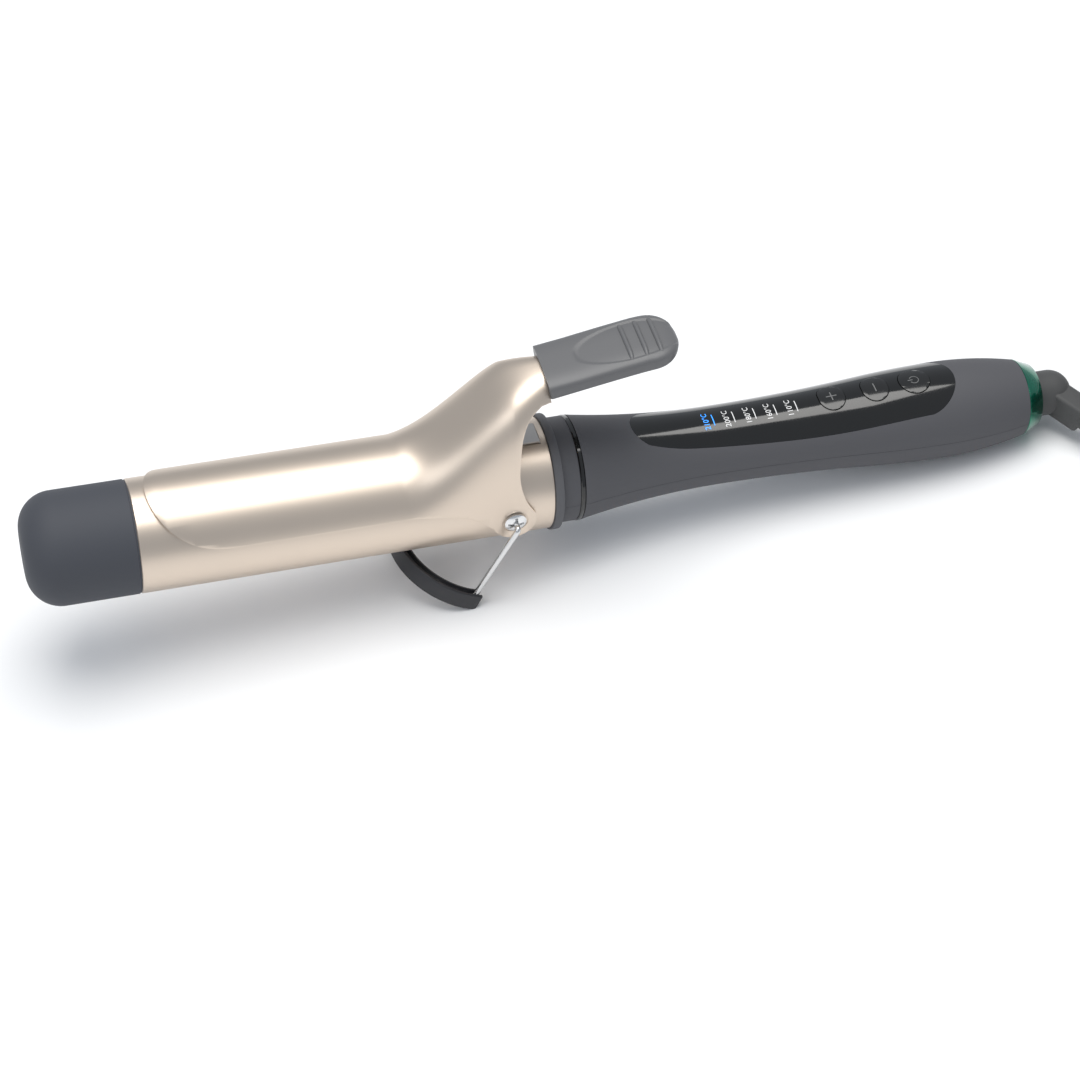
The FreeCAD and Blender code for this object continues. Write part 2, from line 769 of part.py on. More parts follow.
def shell_screw(label, place):
    """A screw that pulls the shells together, with a cross in its head."""
    under = "0 - well_floor - shell_screw_head_thick"
    head = bar(f"{label}_screw_head", "Z", under, "0 - well_floor", "shell_screw_head", x=place)
    shank = bar(
        f"{label}_screw_shank", "Z", "0 - well_floor", "shell_screw_reach", "shell_screw_radius", x=place
    )
    depth = (f"{under} - 1", f"{under} + cross_depth")
    long_x = (f"{place} - cross_half_length", f"{place} + cross_half_length")
    short_x = (f"{place} - cross_half_width", f"{place} + cross_half_width")
    short_y = ("0 - cross_half_width", "cross_half_width")
    long_y = ("0 - cross_half_length", "cross_half_length")
    first = block(f"{label}_screw_cross", long_x, short_y, depth)
    second = block(f"{label}_screw_bar", short_x, long_y, depth)
    return cut(f"{label}_screw", fused(f"{label}_screw_blank", head, shank), first, second)


def handle_radius_any(place):
    """The handle's outside radius anywhere behind the ring groove."""
    if value(place) >= value("waist_place"):
        return handle_radius(place)
    fall = f"sqrt ( ( {FLARE_BEND} ) ^ 2 - ( waist_place - ( {place} ) ) ^ 2 )"
    return f"waist_radius + {FLARE_BEND} - {fall}"


def build_controls():
    """The buttons, the board under them, and what the board carries."""
    board_wide = ("0 - board_half", "board_half")
    board = block("board_block", ("board_front", "board_back"), board_wide, ("board_level", BOARD_TOP))
    keep(board, "control_board")
    guide = block(
        "guide_block",
        ("window_front + slip_gap", "window_back - slip_gap"),
        ("0 - window_half + slip_gap", "window_half - slip_gap"),
        (BOARD_TOP, "waist_radius - lens_depth - guide_depth"),
    )
    lamps = []
    pockets = []
    lamp_wide = ("0 - lamp_half_width", "lamp_half_width")
    pocket_wide = ("0 - lamp_half_width - lamp_gap", "lamp_half_width + lamp_gap")
    pocket_high = (f"{BOARD_TOP} - 1", f"{BOARD_TOP} + lamp_height + lamp_gap")
    for index in range(LAMP_COUNT):
        place = f"scale_start + {index} * scale_pitch"
        if index == LAMP_COUNT - 1:
            place = "window_back - last_lamp_inset"
        long = (f"{place} - lamp_half_length", f"{place} + lamp_half_length")
        lamps.append(block(f"lamp_{index}", long, lamp_wide, (BOARD_TOP, f"{BOARD_TOP} + lamp_height")))
        pocket = (f"{long[0]} - lamp_gap", f"{long[1]} + lamp_gap")
        pockets.append(block(f"pocket_{index}", pocket, pocket_wide, pocket_high))
    keep(cut("guide_cut", guide, *pockets), "light_guide")
    keep(group("lamp_row", *lamps), "indicator_leds")
    switches = []
    for label in BUTTONS:
        place = f"{label}_place"
        switch = block(
            f"{label}_switch",
            (f"{place} - switch_half", f"{place} + switch_half"),
            ("0 - switch_half", "switch_half"),
            (BOARD_TOP, f"{SWITCH_TOP} - nib_height"),
        )
        nib = bar(f"{label}_nib", "Z", f"{SWITCH_TOP} - nib_height", SWITCH_TOP, "nib_radius", x=place)
        switches.append(fused(f"{label}_switch_whole", switch, nib))
        build_button(label)
    keep(group("switch_row", *switches), "tact_switches")
    under = "board_level"
    place = "board_front + capacitor_place"
    capacitor = bar("capacitor_bar", "Z", f"{under} - capacitor_height", under, "capacitor_radius", x=place)
    keep(capacitor, "smoothing_capacitor")
    triac_long = ("board_back - triac_front", "board_back - triac_back")
    triac_wide = ("0 - triac_half", "triac_half")
    triac = block("triac_block", triac_long, triac_wide, (f"{under} - triac_height", under))
    keep(triac, "power_triac")
    chip_long = ("board_front + chip_front", "board_front + chip_back")
    chip_wide = ("0 - chip_half", "chip_half")
    chip = block("chip_block", chip_long, chip_wide, (f"{under} - chip_height", under))
    keep(chip, "control_chip")


def build_button(label):
    """One push button: a cap in the panel and a stem that stops short of its switch."""
    place = f"{label}_place"
    crown = f"{handle_radius(place)} + button_proud"
    foot = "waist_radius - handle_wall - 1.2"
    cap = button_block(f"{label}_cap", label, foot, crown, "0")
    stem_low = f"{SWITCH_TOP} + button_travel + stem_gap"
    stem = bar(f"{label}_stem", "Z", stem_low, foot, "stem_radius", x=place)
    keep(fused(f"{label}_whole", cap, stem), f"button_{label}")


def build_rings():
    """The gloss trim ring in its groove, and the metal ring that closes the handle."""
    inner = "ring_radius - ring_depth + slip_gap"
    ring = tube("trim_body", "ring_front + slip_gap", "ring_back - slip_gap", "ring_radius", inner)
    keep(ring, "trim_ring")
    spigot = "handle_back_radius - handle_wall - slip_gap"
    bore = "swivel_neck_radius + running_gap"
    corners = [
        ("handle_back - end_ring_spigot", bore),
        ("end_ring_back", bore),
        ("end_ring_back", "end_ring_radius"),
        ("handle_back", "handle_back_radius"),
        ("handle_back", spigot),
        ("handle_back - end_ring_spigot", spigot),
    ]
    keep(turned("end_ring_body", corners), "end_ring")


# ---------------------------------------------------------------------------
# swivel, contacts and elbow
# ---------------------------------------------------------------------------

FLANGE_BACK = "handle_back - end_ring_spigot - swivel_gap"
FLANGE_FRONT = f"{FLANGE_BACK} - swivel_flange_thick"
SLIP_FRONT = f"{FLANGE_FRONT} - slip_ring_thick"
CONTACT_BACK = f"{SLIP_FRONT} - contact_gap"
CONTACT_FRONT = f"{CONTACT_BACK} - contact_thick"
SLIP_RINGS = {
    "inner": ("slip_inner_start", "slip_inner_end"),
    "outer": ("slip_outer_start", "slip_outer_end"),
}


def build_swivel():
    """The turning hub with its slip rings, and the fixed contacts that press on them."""
    hub_back = "end_ring_back + swivel_gap"
    corners = [
        (FLANGE_FRONT, "0"),
        (hub_back, "0"),
        (hub_back, "swivel_neck_radius"),
        (FLANGE_BACK, "swivel_neck_radius"),
        (FLANGE_BACK, "swivel_flange_radius"),
        (FLANGE_FRONT, "swivel_flange_radius"),
    ]
    keep(turned("swivel_body", corners), "swivel_hub")
    rings = [
        tube(f"slip_{label}", SLIP_FRONT, FLANGE_FRONT, outer, inner)
        for label, (inner, outer) in SLIP_RINGS.items()
    ]
    keep(group("slip_set", *rings), "slip_rings")
    corners = [
        (CONTACT_FRONT, "0"),
        (CONTACT_BACK, "0"),
        (CONTACT_BACK, f"{handle_radius(CONTACT_BACK)} - handle_wall - slip_gap * 2"),
        (CONTACT_FRONT, f"{handle_radius(CONTACT_BACK)} - handle_wall - slip_gap * 2"),
    ]
    keep(turned("contact_body", corners), "contact_plate")
    brushes = []
    for label, sign in (("inner", "0 +"), ("outer", "0 -")):
        inner, outer = SLIP_RINGS[label]
        offset = f"{sign} ( {inner} + {outer} ) / 2"
        brush_tip = f"{SLIP_FRONT} - swivel_gap"
        brushes.append(bar(f"brush_{label}", "X", CONTACT_BACK, brush_tip, "brush_radius", y=offset))
    keep(group("brush_set", *brushes), "brush_contacts")
    leads = []
    for label, sign in (("left", "0 +"), ("right", "0 -")):
        spread = f"{sign} lead_spread"
        level = "board_level + supply_rise"
        lead = bar(f"supply_{label}", "X", "board_back", CONTACT_FRONT, "lead_radius", y=spread, z=level)
        leads.append(lead)
    keep(group("supply_pair", *leads), "supply_leads")


def elbow_direction():
    """The way the elbow's arm points, in the iron's frame."""
    bend = math.radians(value("elbow_bend"))
    droop = math.radians(value("elbow_droop"))
    sideways = -math.sin(bend) * math.cos(droop)
    return Vector(math.cos(bend), sideways, -math.sin(bend) * math.sin(droop))


def elbow_corner():
    """Where the elbow's arm leaves the swivel's axis."""
    return ALONG * value("end_ring_back + swivel_gap + elbow_hub_length")


def elbow_end():
    """Where the cord leaves the elbow."""
    return elbow_corner() + elbow_direction() * value("elbow_arm + relief_length")


def build_elbow():
    """The rubber elbow: a round hub, a boxy arm bent off the axis, and a tapered relief."""
    start = value("end_ring_back + swivel_gap")
    hub_radius = value("elbow_hub_radius")
    hub_length = value("elbow_hub_length")
    direction = elbow_direction()
    corner = elbow_corner()
    hub = Part.makeCylinder(hub_radius, hub_length, ALONG * start, ALONG)
    knuckle = Part.makeSphere(hub_radius, corner)
    width = value("elbow_width")
    height = value("elbow_height")
    arm = Part.makeBox(height, width, value("elbow_arm"), Vector(-height / 2, -width / 2, 0))
    arm = arm.makeFillet(width * 0.12, [edge for edge in arm.Edges if abs(edge.tangentAt(0).z) > 0.9])
    arm.Placement = facing(corner, direction)
    relief_start = corner + direction * value("elbow_arm")
    relief = Part.makeCone(
        value("relief_start"),
        value("cord_radius") + 0.4,
        value("relief_length"),
        relief_start,
        direction,
    )
    behind = Part.makeBox(200, 200, 200, Vector(start - 200, -100, -100))
    solid = hub.fuse([knuckle, arm, relief]).cut(behind).removeSplitter()
    made("cord_elbow", solid)


def facing(place, direction):
    """A placement whose Z runs along a direction, with X kept as upright as it can be."""
    side = UP.cross(direction).normalize()
    upright = direction.cross(side)
    turn = Rotation(upright, side, direction, "ZXY")
    return Placement(place, turn)


# ---------------------------------------------------------------------------
# clamp lever, cap and spring
# ---------------------------------------------------------------------------


NECK_LIMIT = 1.35
NECK_EASE = (2.1, 1.1)
NECK_SLOPE = 0.42
NECK_WALL_SHARE = 0.45
SIDE_KNOTS = [(-30, 7.4), (-16, 4.6)]
REAR_KNOTS = [(3.4, 9), (1.0, 18), (0.8, 27), (1.8, 35), (4.6, 40.4), (9, 43.2)]
SIDE_END = -48.0
EAR_START = (-0.94, -0.34)
EAR_LOW = (0.5, -0.87)
NECK_SHARES = (1, 0.85, 0.68, 0.5, 0.32, 0.15)


def ramp(place):
    """How far along the neck a place is: 0 where it leaves the barrel, 1 at the pivot."""
    start = -value("neck_start")
    return min(max((place - start) / -start, 0.0), NECK_LIMIT)


def crown_level(place, drop):
    """The height of the lever's crown at a place, lowered for the inner surface."""
    radius = value(LEVER_OUTER)
    peak = value("neck_crown")
    along = ramp(place)
    if along <= 0:
        return radius - drop
    first, second = NECK_EASE
    eased = along * along * (first - second * along) if along < 1 else 1 + NECK_SLOPE * (along - 1)
    return radius + (peak - radius) * eased - drop * (1 + NECK_WALL_SHARE * min(along * 2, 1))


def arch(place, drop):
    """The lever's cross-section at a place: a rounded arch down to a flat foot."""
    along = min(ramp(place), 1.0)
    power = 2 + value("neck_square") * along
    narrow = value("neck_narrowing") * max(ramp(place) - 1.0, 0) * 3
    half = value(LEVER_OUTER) - drop
    top = crown_level(place, drop)
    bottom = -value("lever_ear_radius") - 3
    points = []
    steps = 16
    for step in range(steps + 1):
        angle = math.pi * step / steps
        cosine = math.cos(angle)
        sine = math.sin(angle)
        across = (half - narrow * sine) * math.copysign(abs(cosine) ** (2 / power), cosine)
        points.append(Vector(place, across, top * abs(sine) ** (2 / power)))
    curve = Part.BSplineCurve()
    curve.interpolate(points)
    left = points[-1]
    right = points[0]
    left_foot = Vector(place, left.y, bottom)
    right_foot = Vector(place, right.y, bottom)
    lines = [
        Part.LineSegment(left, left_foot),
        Part.LineSegment(left_foot, right_foot),
        Part.LineSegment(right_foot, right),
    ]
    return Part.Wire([curve.toShape(), *[line.toShape() for line in lines]])


def lever_envelope(drop):
    """The solid inside the lever's outer or inner surface, from nose to cap."""
    start = -value("neck_start")
    front = -value("lever_nose") - 2 - 2 * drop
    back = value("cap_front") + 0.4 + 4 * drop
    straight = Part.makeLoft([arch(front, drop), arch(start, drop)], True, True)
    places = [*[start * share for share in NECK_SHARES], 0.0, back * 0.5, back]
    neck = Part.makeLoft([arch(place, drop) for place in places], True, False)
    return straight.fuse(neck)


def lever_side():
    """The lever's outline seen from the side, as a block that trims the envelope."""
    radius = value(LEVER_OUTER)
    level = value("lever_side_level")
    nose = value("lever_nose_radius")
    centre = nose - value("lever_nose")
    ear = value("lever_ear_radius")
    side_arc = radius * math.acos(level / radius)
    swing = math.asin(min(side_arc / nose, 1.0))
    steps = 7
    points = []
    for step in range(steps + 1):
        angle = swing * step / steps
        around = nose * math.sin(angle) / radius
        points.append(Vector(centre - nose * math.cos(angle), 0, radius * math.cos(around)))
    points[0].z = radius + 4
    curve = Part.BSplineCurve()
    curve.interpolate(points[1:])
    top = value("neck_crown") + 12
    first = Vector(points[1].x, 0, top)
    side_end = Vector(SIDE_END, 0, level)
    ear_start = Vector(EAR_START[0], 0, EAR_START[1]) * ear
    ear_end = ear_start * -1
    sweep = Part.BSplineCurve()
    sweep.interpolate([side_end, *[Vector(x, 0, z) for x, z in SIDE_KNOTS], ear_start])
    rear = Part.BSplineCurve()
    rear_points = [ear_end, *[Vector(x, 0, z) for x, z in REAR_KNOTS]]
    rear.interpolate(rear_points)
    cap_front = value("cap_front")
    lean = math.tan(math.radians(value("cap_rise_angle")))
    low = Vector(cap_front, 0, value("cap_seam_level"))
    high = Vector(cap_front - (top - low.z) * lean, 0, top)
    edges = [
        Part.LineSegment(first, points[1]).toShape(),
        curve.toShape(),
        Part.LineSegment(points[-1], side_end).toShape(),
        sweep.toShape(),
        Part.Arc(ear_start, Vector(EAR_LOW[0], 0, EAR_LOW[1]) * ear, ear_end).toShape(),
        rear.toShape(),
        Part.LineSegment(rear_points[-1], low).toShape(),
        Part.LineSegment(low, high).toShape(),
        Part.LineSegment(high, first).toShape(),
    ]
    face = Part.Face(Part.Wire(edges))
    half = radius + 2
    face.translate(ACROSS * -half)
    return face.extrude(ACROSS * (2 * half))


def tongue_box(grow):
    """The flat tongue that the thumb cap is pushed over, grown all round by a gap."""
    half = value("tongue_half") + grow
    thick = value("tongue_thick") + 2 * grow
    start = value("cap_front") - 4
    length = value("tongue_reach") - start + grow
    box = Part.makeBox(length, 2 * half, thick, Vector(0, -half, -grow))
    tilt = Rotation(ACROSS, -value("cap_rise_angle"))
    box.Placement = Placement(Vector(start, 0, value("cap_front_level") + 2.6), tilt)
    return box


def build_lever():
    """The clamp: a curved plate, its rising neck, the pivot ears and the cap's tongue."""
    thick = value("lever_thick")
    shell = lever_envelope(0.0).cut(lever_envelope(thick))
    plate_shape = shell.common(lever_side())
    web_box = tongue_box(0.0)
    plate_shape = plate_shape.fuse(web_box)
    hole = value("screw_radius + 2 * running_gap")
    reach = value(LEVER_OUTER) + 2
    drill = Part.makeCylinder(hole, 2 * reach, ACROSS * -reach, ACROSS)
    seat = value(f"{LEVER_OUTER} - dish_depth")
    dishes = [
        Part.makeCylinder(value("dish_radius"), reach, ACROSS * (sign * seat), ACROSS * sign)
        for sign in (1, -1)
    ]
    plate_shape = plate_shape.cut([drill, *dishes])
    solids = sorted(plate_shape.Solids, key=lambda solid: solid.Volume)
    made("lever_plate", solids[-1])


def build_cap():
    """The heat-proof thumb cap: a sloping pad with a rounded tail and three grip ribs."""
    front = value("cap_front")
    back = value("cap_back")
    half = value("cap_half")
    low = value("cap_front_level")
    depth = value("cap_depth")
    slope = math.tan(math.radians(value("cap_rise_angle")))
    length = back - front
    tail = depth * 0.55

    def level(place):
        return low + (place - front) * slope

    lean = slope * depth

    def mouth(height):
        gap = value("slip_gap")
        return Vector(front + gap - (height - value("cap_seam_level")) * slope, 0, height)

    outline = [
        mouth(low),
        Vector(back - tail, 0, level(back - tail)),
        Vector(back, 0, level(back) + depth * 0.5),
        Vector(back - tail - lean, 0, level(back - tail) + depth),
        Vector(front + length * 0.45, 0, level(front + length * 0.45) + depth),
        mouth(low + depth * 0.88),
    ]
    edges = [
        Part.LineSegment(outline[0], outline[1]).toShape(),
        Part.Arc(outline[1], outline[2], outline[3]).toShape(),
        Part.LineSegment(outline[3], outline[4]).toShape(),
        Part.LineSegment(outline[4], outline[5]).toShape(),
        Part.LineSegment(outline[5], outline[0]).toShape(),
    ]
    face = Part.Face(Part.Wire(edges))
    face.translate(ACROSS * -half)
    slab = face.extrude(ACROSS * (2 * half))
    tail_radius = half * 0.98
    plan = Part.makeBox(length - tail_radius + 6, 2 * half, 60, Vector(front - 6, -half, 20))
    plan = plan.fuse(Part.makeCylinder(half, 60, Vector(back - tail_radius, 0, 20), UP))
    body = slab.common(plan)
    crown_radius = value("cap_corner_radius")
    far = -5 * front
    crown_start = Vector(far, 0, low + depth - crown_radius + far * slope)
    crown = Part.makeCylinder(crown_radius, 200, crown_start, Vector(1, 0, slope))
    body = body.common(crown)
    body = body.cut(tongue_box(value("slip_gap")))
    body = max(body.Solids, key=lambda solid: solid.Volume)
    made("thumb_cap", body)


def build_spring():
    """The clamp's leaf spring: hooked in the barrel, folded over, and up under the neck."""
    base = "barrel_radius + 0.02"
    top = f"{base} + spring_thick"
    bend = "spring_bend"
    lean_x = "spring_top_place"
    fold_top = f"{top} + 2 * {bend} + spring_thick"
    corners = [
        ("spring_back", f"{BARREL_BORE} + slip_gap"),
        ("spring_back", top),
        ("0 - spring_front", top, f"{bend} * fold_ease", 1),
        ("0 - spring_front", f"{top} + 2 * {bend}"),
        (lean_x, "spring_top_level - spring_thick"),
        (lean_x, "spring_top_level"),
        (f"{lean_x} - spring_thick", "spring_top_level"),
        ("0 - spring_front", fold_top, f"( {bend} + spring_thick ) * fold_ease", -1),
        ("0 - spring_front", base),
        ("spring_back - spring_thick", base),
        ("spring_back - spring_thick", f"{BARREL_BORE} + slip_gap"),
    ]
    keep(plate("spring_body", "XZ_Plane", corners, "2 * spring_half"), "lever_spring")


# ---------------------------------------------------------------------------
# stand
# ---------------------------------------------------------------------------


CHANNEL_MOUTH = 0.86
FOOT_BEHIND = 2.4


def stand_axes():
    """The leg's direction and the direction in which the foot bows, in the iron's frame."""
    angle = math.radians(value("stand_angle"))
    leg = Vector(-math.cos(angle), 0, -math.sin(angle))
    bow = Vector(-math.sin(angle), 0, math.cos(angle))
    return leg, bow


def build_stand(floor_cut):
    """The wire bail on the hollow screws and the half-round foot that it carries."""
    leg = stand_axes()[0]
    wire = value("wire_radius")
    reach = value("stand_reach")
    middle = value("( foot_inner + foot_outer ) / 2")
    outside = value(f"{LEVER_OUTER} + screw_head_rise + running_gap + wire_clear + wire_radius")
    inside = value(f"{BARREL_BORE} - bracket_clear - bracket_thick + wire_radius")
    parts = []
    for sign in (1, -1):
        hook = Vector(0, sign * outside, 0)
        tip = Vector(0, sign * inside, 0)
        end = leg * reach + ACROSS * (sign * middle)
        parts.append(Part.makeCylinder(wire, outside - inside, tip, ACROSS * sign))
        parts.append(Part.makeSphere(wire, hook))
        run = end - hook
        parts.append(Part.makeCylinder(wire, run.Length, hook, run))
        parts.append(Part.makeSphere(wire, end))
    ring = Part.makeTorus(middle, wire)
    ring.Placement = stand_placement(reach)
    parts.append(ring.common(bow_side(0.0)))
    made("stand_wire", parts[0].fuse(parts[1:]).removeSplitter())
    height = value("foot_above + foot_below")
    foot = Part.makeCylinder(value("foot_outer"), height)
    foot = foot.cut(Part.makeCylinder(value("foot_inner"), height))
    foot.Placement = stand_placement(reach - value("foot_above"))
    foot = foot.common(bow_side(FOOT_BEHIND))
    clear = wire + value("slip_gap")
    channel = Part.makeTorus(middle, clear)
    channel.Placement = stand_placement(reach)
    channel = channel.common(bow_side(0.0))
    tools = [channel]
    mouth = clear * CHANNEL_MOUTH
    opening = Part.makeCylinder(middle + mouth, reach).cut(Part.makeCylinder(middle - mouth, reach))
    opening.Placement = stand_placement(0.0)
    tools.append(opening.common(bow_side(FOOT_BEHIND)))
    for sign in (1, -1):
        hook = Vector(0, sign * outside, 0)
        end = leg * reach + ACROSS * (sign * middle)
        run = end - hook
        tools.append(Part.makeCylinder(clear, run.Length, hook, run))
        tools.append(Part.makeSphere(clear, end))
    foot = foot.cut(tools).cut(floor_cut)
    foot = max(foot.Solids, key=lambda solid: solid.Volume)
    made("stand_foot", foot)


def stand_placement(reach):
    """A placement at a distance down the legs, whose Z runs along them."""
    leg, bow = stand_axes()
    return Placement(leg * reach, Rotation(bow, ACROSS, leg, "ZXY"))


def bow_side(behind):
    """A block that keeps the bowed half of the foot, and a little behind it."""
    big = value("foot_outer") * 2
    box = Part.makeBox(big, 2 * big, 4 * big, Vector(-behind, -big, -2 * big))
    box.Placement = stand_placement(0.0)
    return box


# ---------------------------------------------------------------------------
# cord, coil, tie and plug: these lie on the floor, in the finished part's frame
# ---------------------------------------------------------------------------

COIL_CENTRE = Vector(236.8, -10.4, 0)
LEAD_FIRST = 12.0
LEAD_ROUTE = [(-28.83, -35.3, 4.6), (-14.4, -39.5, 3.8)]
TAIL_ROUTE = [
    (-37.1, 19.7, 15.8),
    (-40.5, 5.3, 16.8),
    (-36.4, -8.8, 19.6),
    (-25.8, -19.1, 23.0),
    (-11.5, -22.9, 25.8),
    (-4.0, -22.9, 25.8),
]
TIE_BEARING = 60.0
TIE_SLACK = 0.3
COIL_SLIP = 0.05
COIL_ROUNDING = 0.6
PLUG_RELIEF_LIP = 0.5


def round_path(points, name):
    """A wire of straight runs joined by tangent arcs, as large as the runs allow."""
    edges = []
    start = points[0]
    for before, corner, after in zip(points, points[1:], points[2:]):
        first = (corner - before).normalize()
        second = (after - corner).normalize()
        turn = first.getAngle(second)
        setback = 0.45 * min((corner - before).Length, (after - corner).Length)
        radius = setback / math.tan(turn / 2)
        print(f"{name}: arc radius {radius:.1f} mm, turn {math.degrees(turn):.0f} degrees")
        enter = corner - first * setback
        leave = corner + second * setback
        inward = (second - first).normalize()
        middle = corner + inward * (math.hypot(setback, radius) - radius)
        edges.append(Part.LineSegment(start, enter).toShape())
        edges.append(Part.Arc(enter, middle, leave).toShape())
        start = leave
    edges.append(Part.LineSegment(start, points[-1]).toShape())
    return Part.Wire(edges)


def cord_tube(points, name, grow=0.0):
    """A tube of the cord's own size, or a little larger, along a rounded route."""
    path = round_path(points, name)
    radius = value("cord_radius") + grow
    circle = Part.Circle(points[0], (points[1] - points[0]).normalize(), radius)
    section = Part.Wire([circle.toShape()])
    solid = path.makePipeShell([section], True, True)
    expected = math.pi * radius * radius * path.Length
    print(f"{name}: length {path.Length:.1f} mm, volume {solid.Volume:.0f} against {expected:.0f} mm3")
    return solid


def build_cord(start, direction):
    """The cord from the elbow to its coil, the coil, its tie, and the tail to the plug."""
    lead = [start, start + direction * LEAD_FIRST]
    lead += [COIL_CENTRE + Vector(*point) for point in LEAD_ROUTE]
    run = cord_tube(lead, "cord_run")
    tail = cord_tube([COIL_CENTRE + Vector(*point) for point in TAIL_ROUTE], "cord_tail")
    strand = 2 * value("cord_radius")
    low = value("tie_thick")
    layers = value("coil_low_layers")
    middle = low + layers * strand
    inner = value("coil_inner")
    outer = value("coil_outer")
    ring = coil_ring(inner, outer, low, middle)
    top_ring = coil_ring(outer - strand, outer, middle, middle + strand)
    clear = cord_tube([COIL_CENTRE + Vector(*point) for point in TAIL_ROUTE], "tail_room", COIL_SLIP)
    room = cord_tube(lead, "run_room", COIL_SLIP)
    whole = ring.fuse(top_ring).cut([clear, room])
    made("cord_run", run)
    made("cord_tail", tail)
    made("cord_coil", max(whole.Solids, key=lambda solid: solid.Volume))
    build_tie(inner, outer, middle + strand)
    build_plug(COIL_CENTRE + Vector(*TAIL_ROUTE[-1]))


def coil_ring(inner, outer, low, high):
    """Strands of the coil lying side by side, as one ring with rounded edges."""
    ring = Part.makeCylinder(outer, high - low, COIL_CENTRE + UP * low)
    ring = ring.cut(Part.makeCylinder(inner, high - low, COIL_CENTRE + UP * low))
    rounding = value("cord_radius") * COIL_ROUNDING
    return ring.makeFillet(rounding, [edge for edge in ring.Edges if edge.Closed])


def build_tie(inner, outer, top):
    """The strap that holds the coil's strands together."""
    thick = value("tie_thick")
    width = value("tie_width")
    near = math.sqrt(inner * inner - width * width / 4) - TIE_SLACK
    far = outer + TIE_SLACK
    outside = Part.makeBox(far - near + 2 * thick, width, top + thick, Vector(near - thick, -width / 2, 0))
    inside = Part.makeBox(far - near, width, top - thick, Vector(near, -width / 2, thick))
    band = outside.cut(inside)
    band.Placement = Placement(COIL_CENTRE, Rotation(UP, TIE_BEARING))
    made("cord_tie", band)


def build_plug(start):
    """The plug on top of the coil: a tapered relief, a flat body and two round pins."""
    relief_length = value("plug_relief_length")
    relief_start = value("cord_radius") + PLUG_RELIEF_LIP
    relief = Part.makeCone(relief_start, value("plug_relief_radius"), relief_length, start, ALONG)
    made("plug_strain_relief", relief)
    length = value("plug_length")
    width = value("plug_width")
    thick = value("plug_thick")
    back = start + ALONG * relief_length
    body = Part.makeBox(length, width, thick, back - Vector(0, width / 2, thick / 2))
    upright = [edge for edge in body.Edges if edge.BoundBox.ZLength > thick / 2]
    body = body.makeFillet(value("plug_round"), upright)
    made("plug_body", body)
    front = back + ALONG * length
    pin = value("pin_radius")
    straight = value("pin_length") - pin
    pins = []
    for sign in (1, -1):
        root = front + ACROSS * (sign * value("pin_spacing") / 2)
        shank = Part.makeCylinder(pin, straight, root, ALONG)
        pins.append(shank.fuse(Part.makeSphere(pin, root + ALONG * straight)).removeSplitter())
    made("plug_pins", Part.makeCompound(pins))
    print("plug pins start at", front, "pin axis +X")


# ---------------------------------------------------------------------------
# rest pose, checks and export
# ---------------------------------------------------------------------------

def bounds(shape, placement):
    """The exact box of a shape under a placement."""
    turned_shape = shape.copy()
    turned_shape.Placement = placement.multiply(turned_shape.Placement)
    return turned_shape.optimalBoundingBox(False, False)


def main():
    """Makes the document, puts the iron in its rest pose, checks it and writes it out."""
    build_barrel()
    build_tip()
    build_heater()
    build_pivot()
    build_collar()
    build_shells()
    build_rings()
    build_controls()
    build_swivel()
    build_elbow()
    build_lever()
    build_cap()
    build_spring()
    doc.recompute()
    turn = Placement(ORIGIN, Rotation(ACROSS, value("rest_pitch")))
    lower = next(piece for piece in PIECES if piece.Label == "handle_lower_shell")
    floor = bounds(lower.Shape, turn).ZMin
    big = 400.0
    below = Part.makeBox(2 * big, 2 * big, big, Vector(-big, -big, floor - big))
    below.Placement = turn.inverse()
    build_stand(below)
    doc.recompute()
    boxes = [bounds(piece.Shape, turn) for piece in PIECES]
    middle = (min(box.XMin for box in boxes) + max(box.XMax for box in boxes)) / 2
    across = (min(box.YMin for box in boxes) + max(box.YMax for box in boxes)) / 2
    pose = Placement(Vector(-middle, -across, -floor), Rotation(ACROSS, value("rest_pitch")))
    for piece in PIECES:
        piece.Placement = pose.multiply(piece.Placement)
    report_places(pose)
    build_cord(pose.multVec(elbow_end()), pose.Rotation.multVec(elbow_direction()))
    doc.recompute()
    export()


def report_places(pose):
    """Prints the places that the record states, in the part's frame."""
    leg = stand_axes()[0]
    places = {
        "pivot": ORIGIN,
        "swivel": ALONG * value("end_ring_back"),
        "elbow corner": elbow_corner(),
        "elbow end": elbow_end(),
        "foot": leg * value("stand_reach"),
    }
    for name, place in places.items():
        print(name, pose.multVec(place))
    print("along", pose.Rotation.multVec(ALONG), "up", pose.Rotation.multVec(UP))
    print("elbow direction", pose.Rotation.multVec(elbow_direction()))
    print("shift", pose.Base)


def export():
    """Stops on any failed object or shape, and writes one STEP file for each piece."""
    for item in doc.Objects:
        if "Invalid" in item.State or "Error" in item.State:
            raise RuntimeError(f"{item.Name} failed: {item.State}")
    for piece in PIECES:
        if piece.Shape.isNull() or not piece.Shape.isValid() or not piece.Shape.Solids:
            raise RuntimeError(f"{piece.Label} has no valid shape")
    os.makedirs("parts", exist_ok=True)
    for piece in PIECES:
        box = piece.Shape.optimalBoundingBox(False, False)
        low = f"{box.XMin:.1f} {box.YMin:.1f} {box.ZMin:.1f}"
        high = f"{box.XMax:.1f} {box.YMax:.1f} {box.ZMax:.1f}"
        count = len(piece.Shape.Solids)
        print(f"{piece.Label}: {count} solids, {piece.Shape.Volume:.0f} mm3, {low} to {high}")
        piece.Shape.exportStep(f"parts/{piece.Label}.step")


main()
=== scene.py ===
"""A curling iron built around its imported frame: barrel, clamp, handle, stand, swivel and cord."""

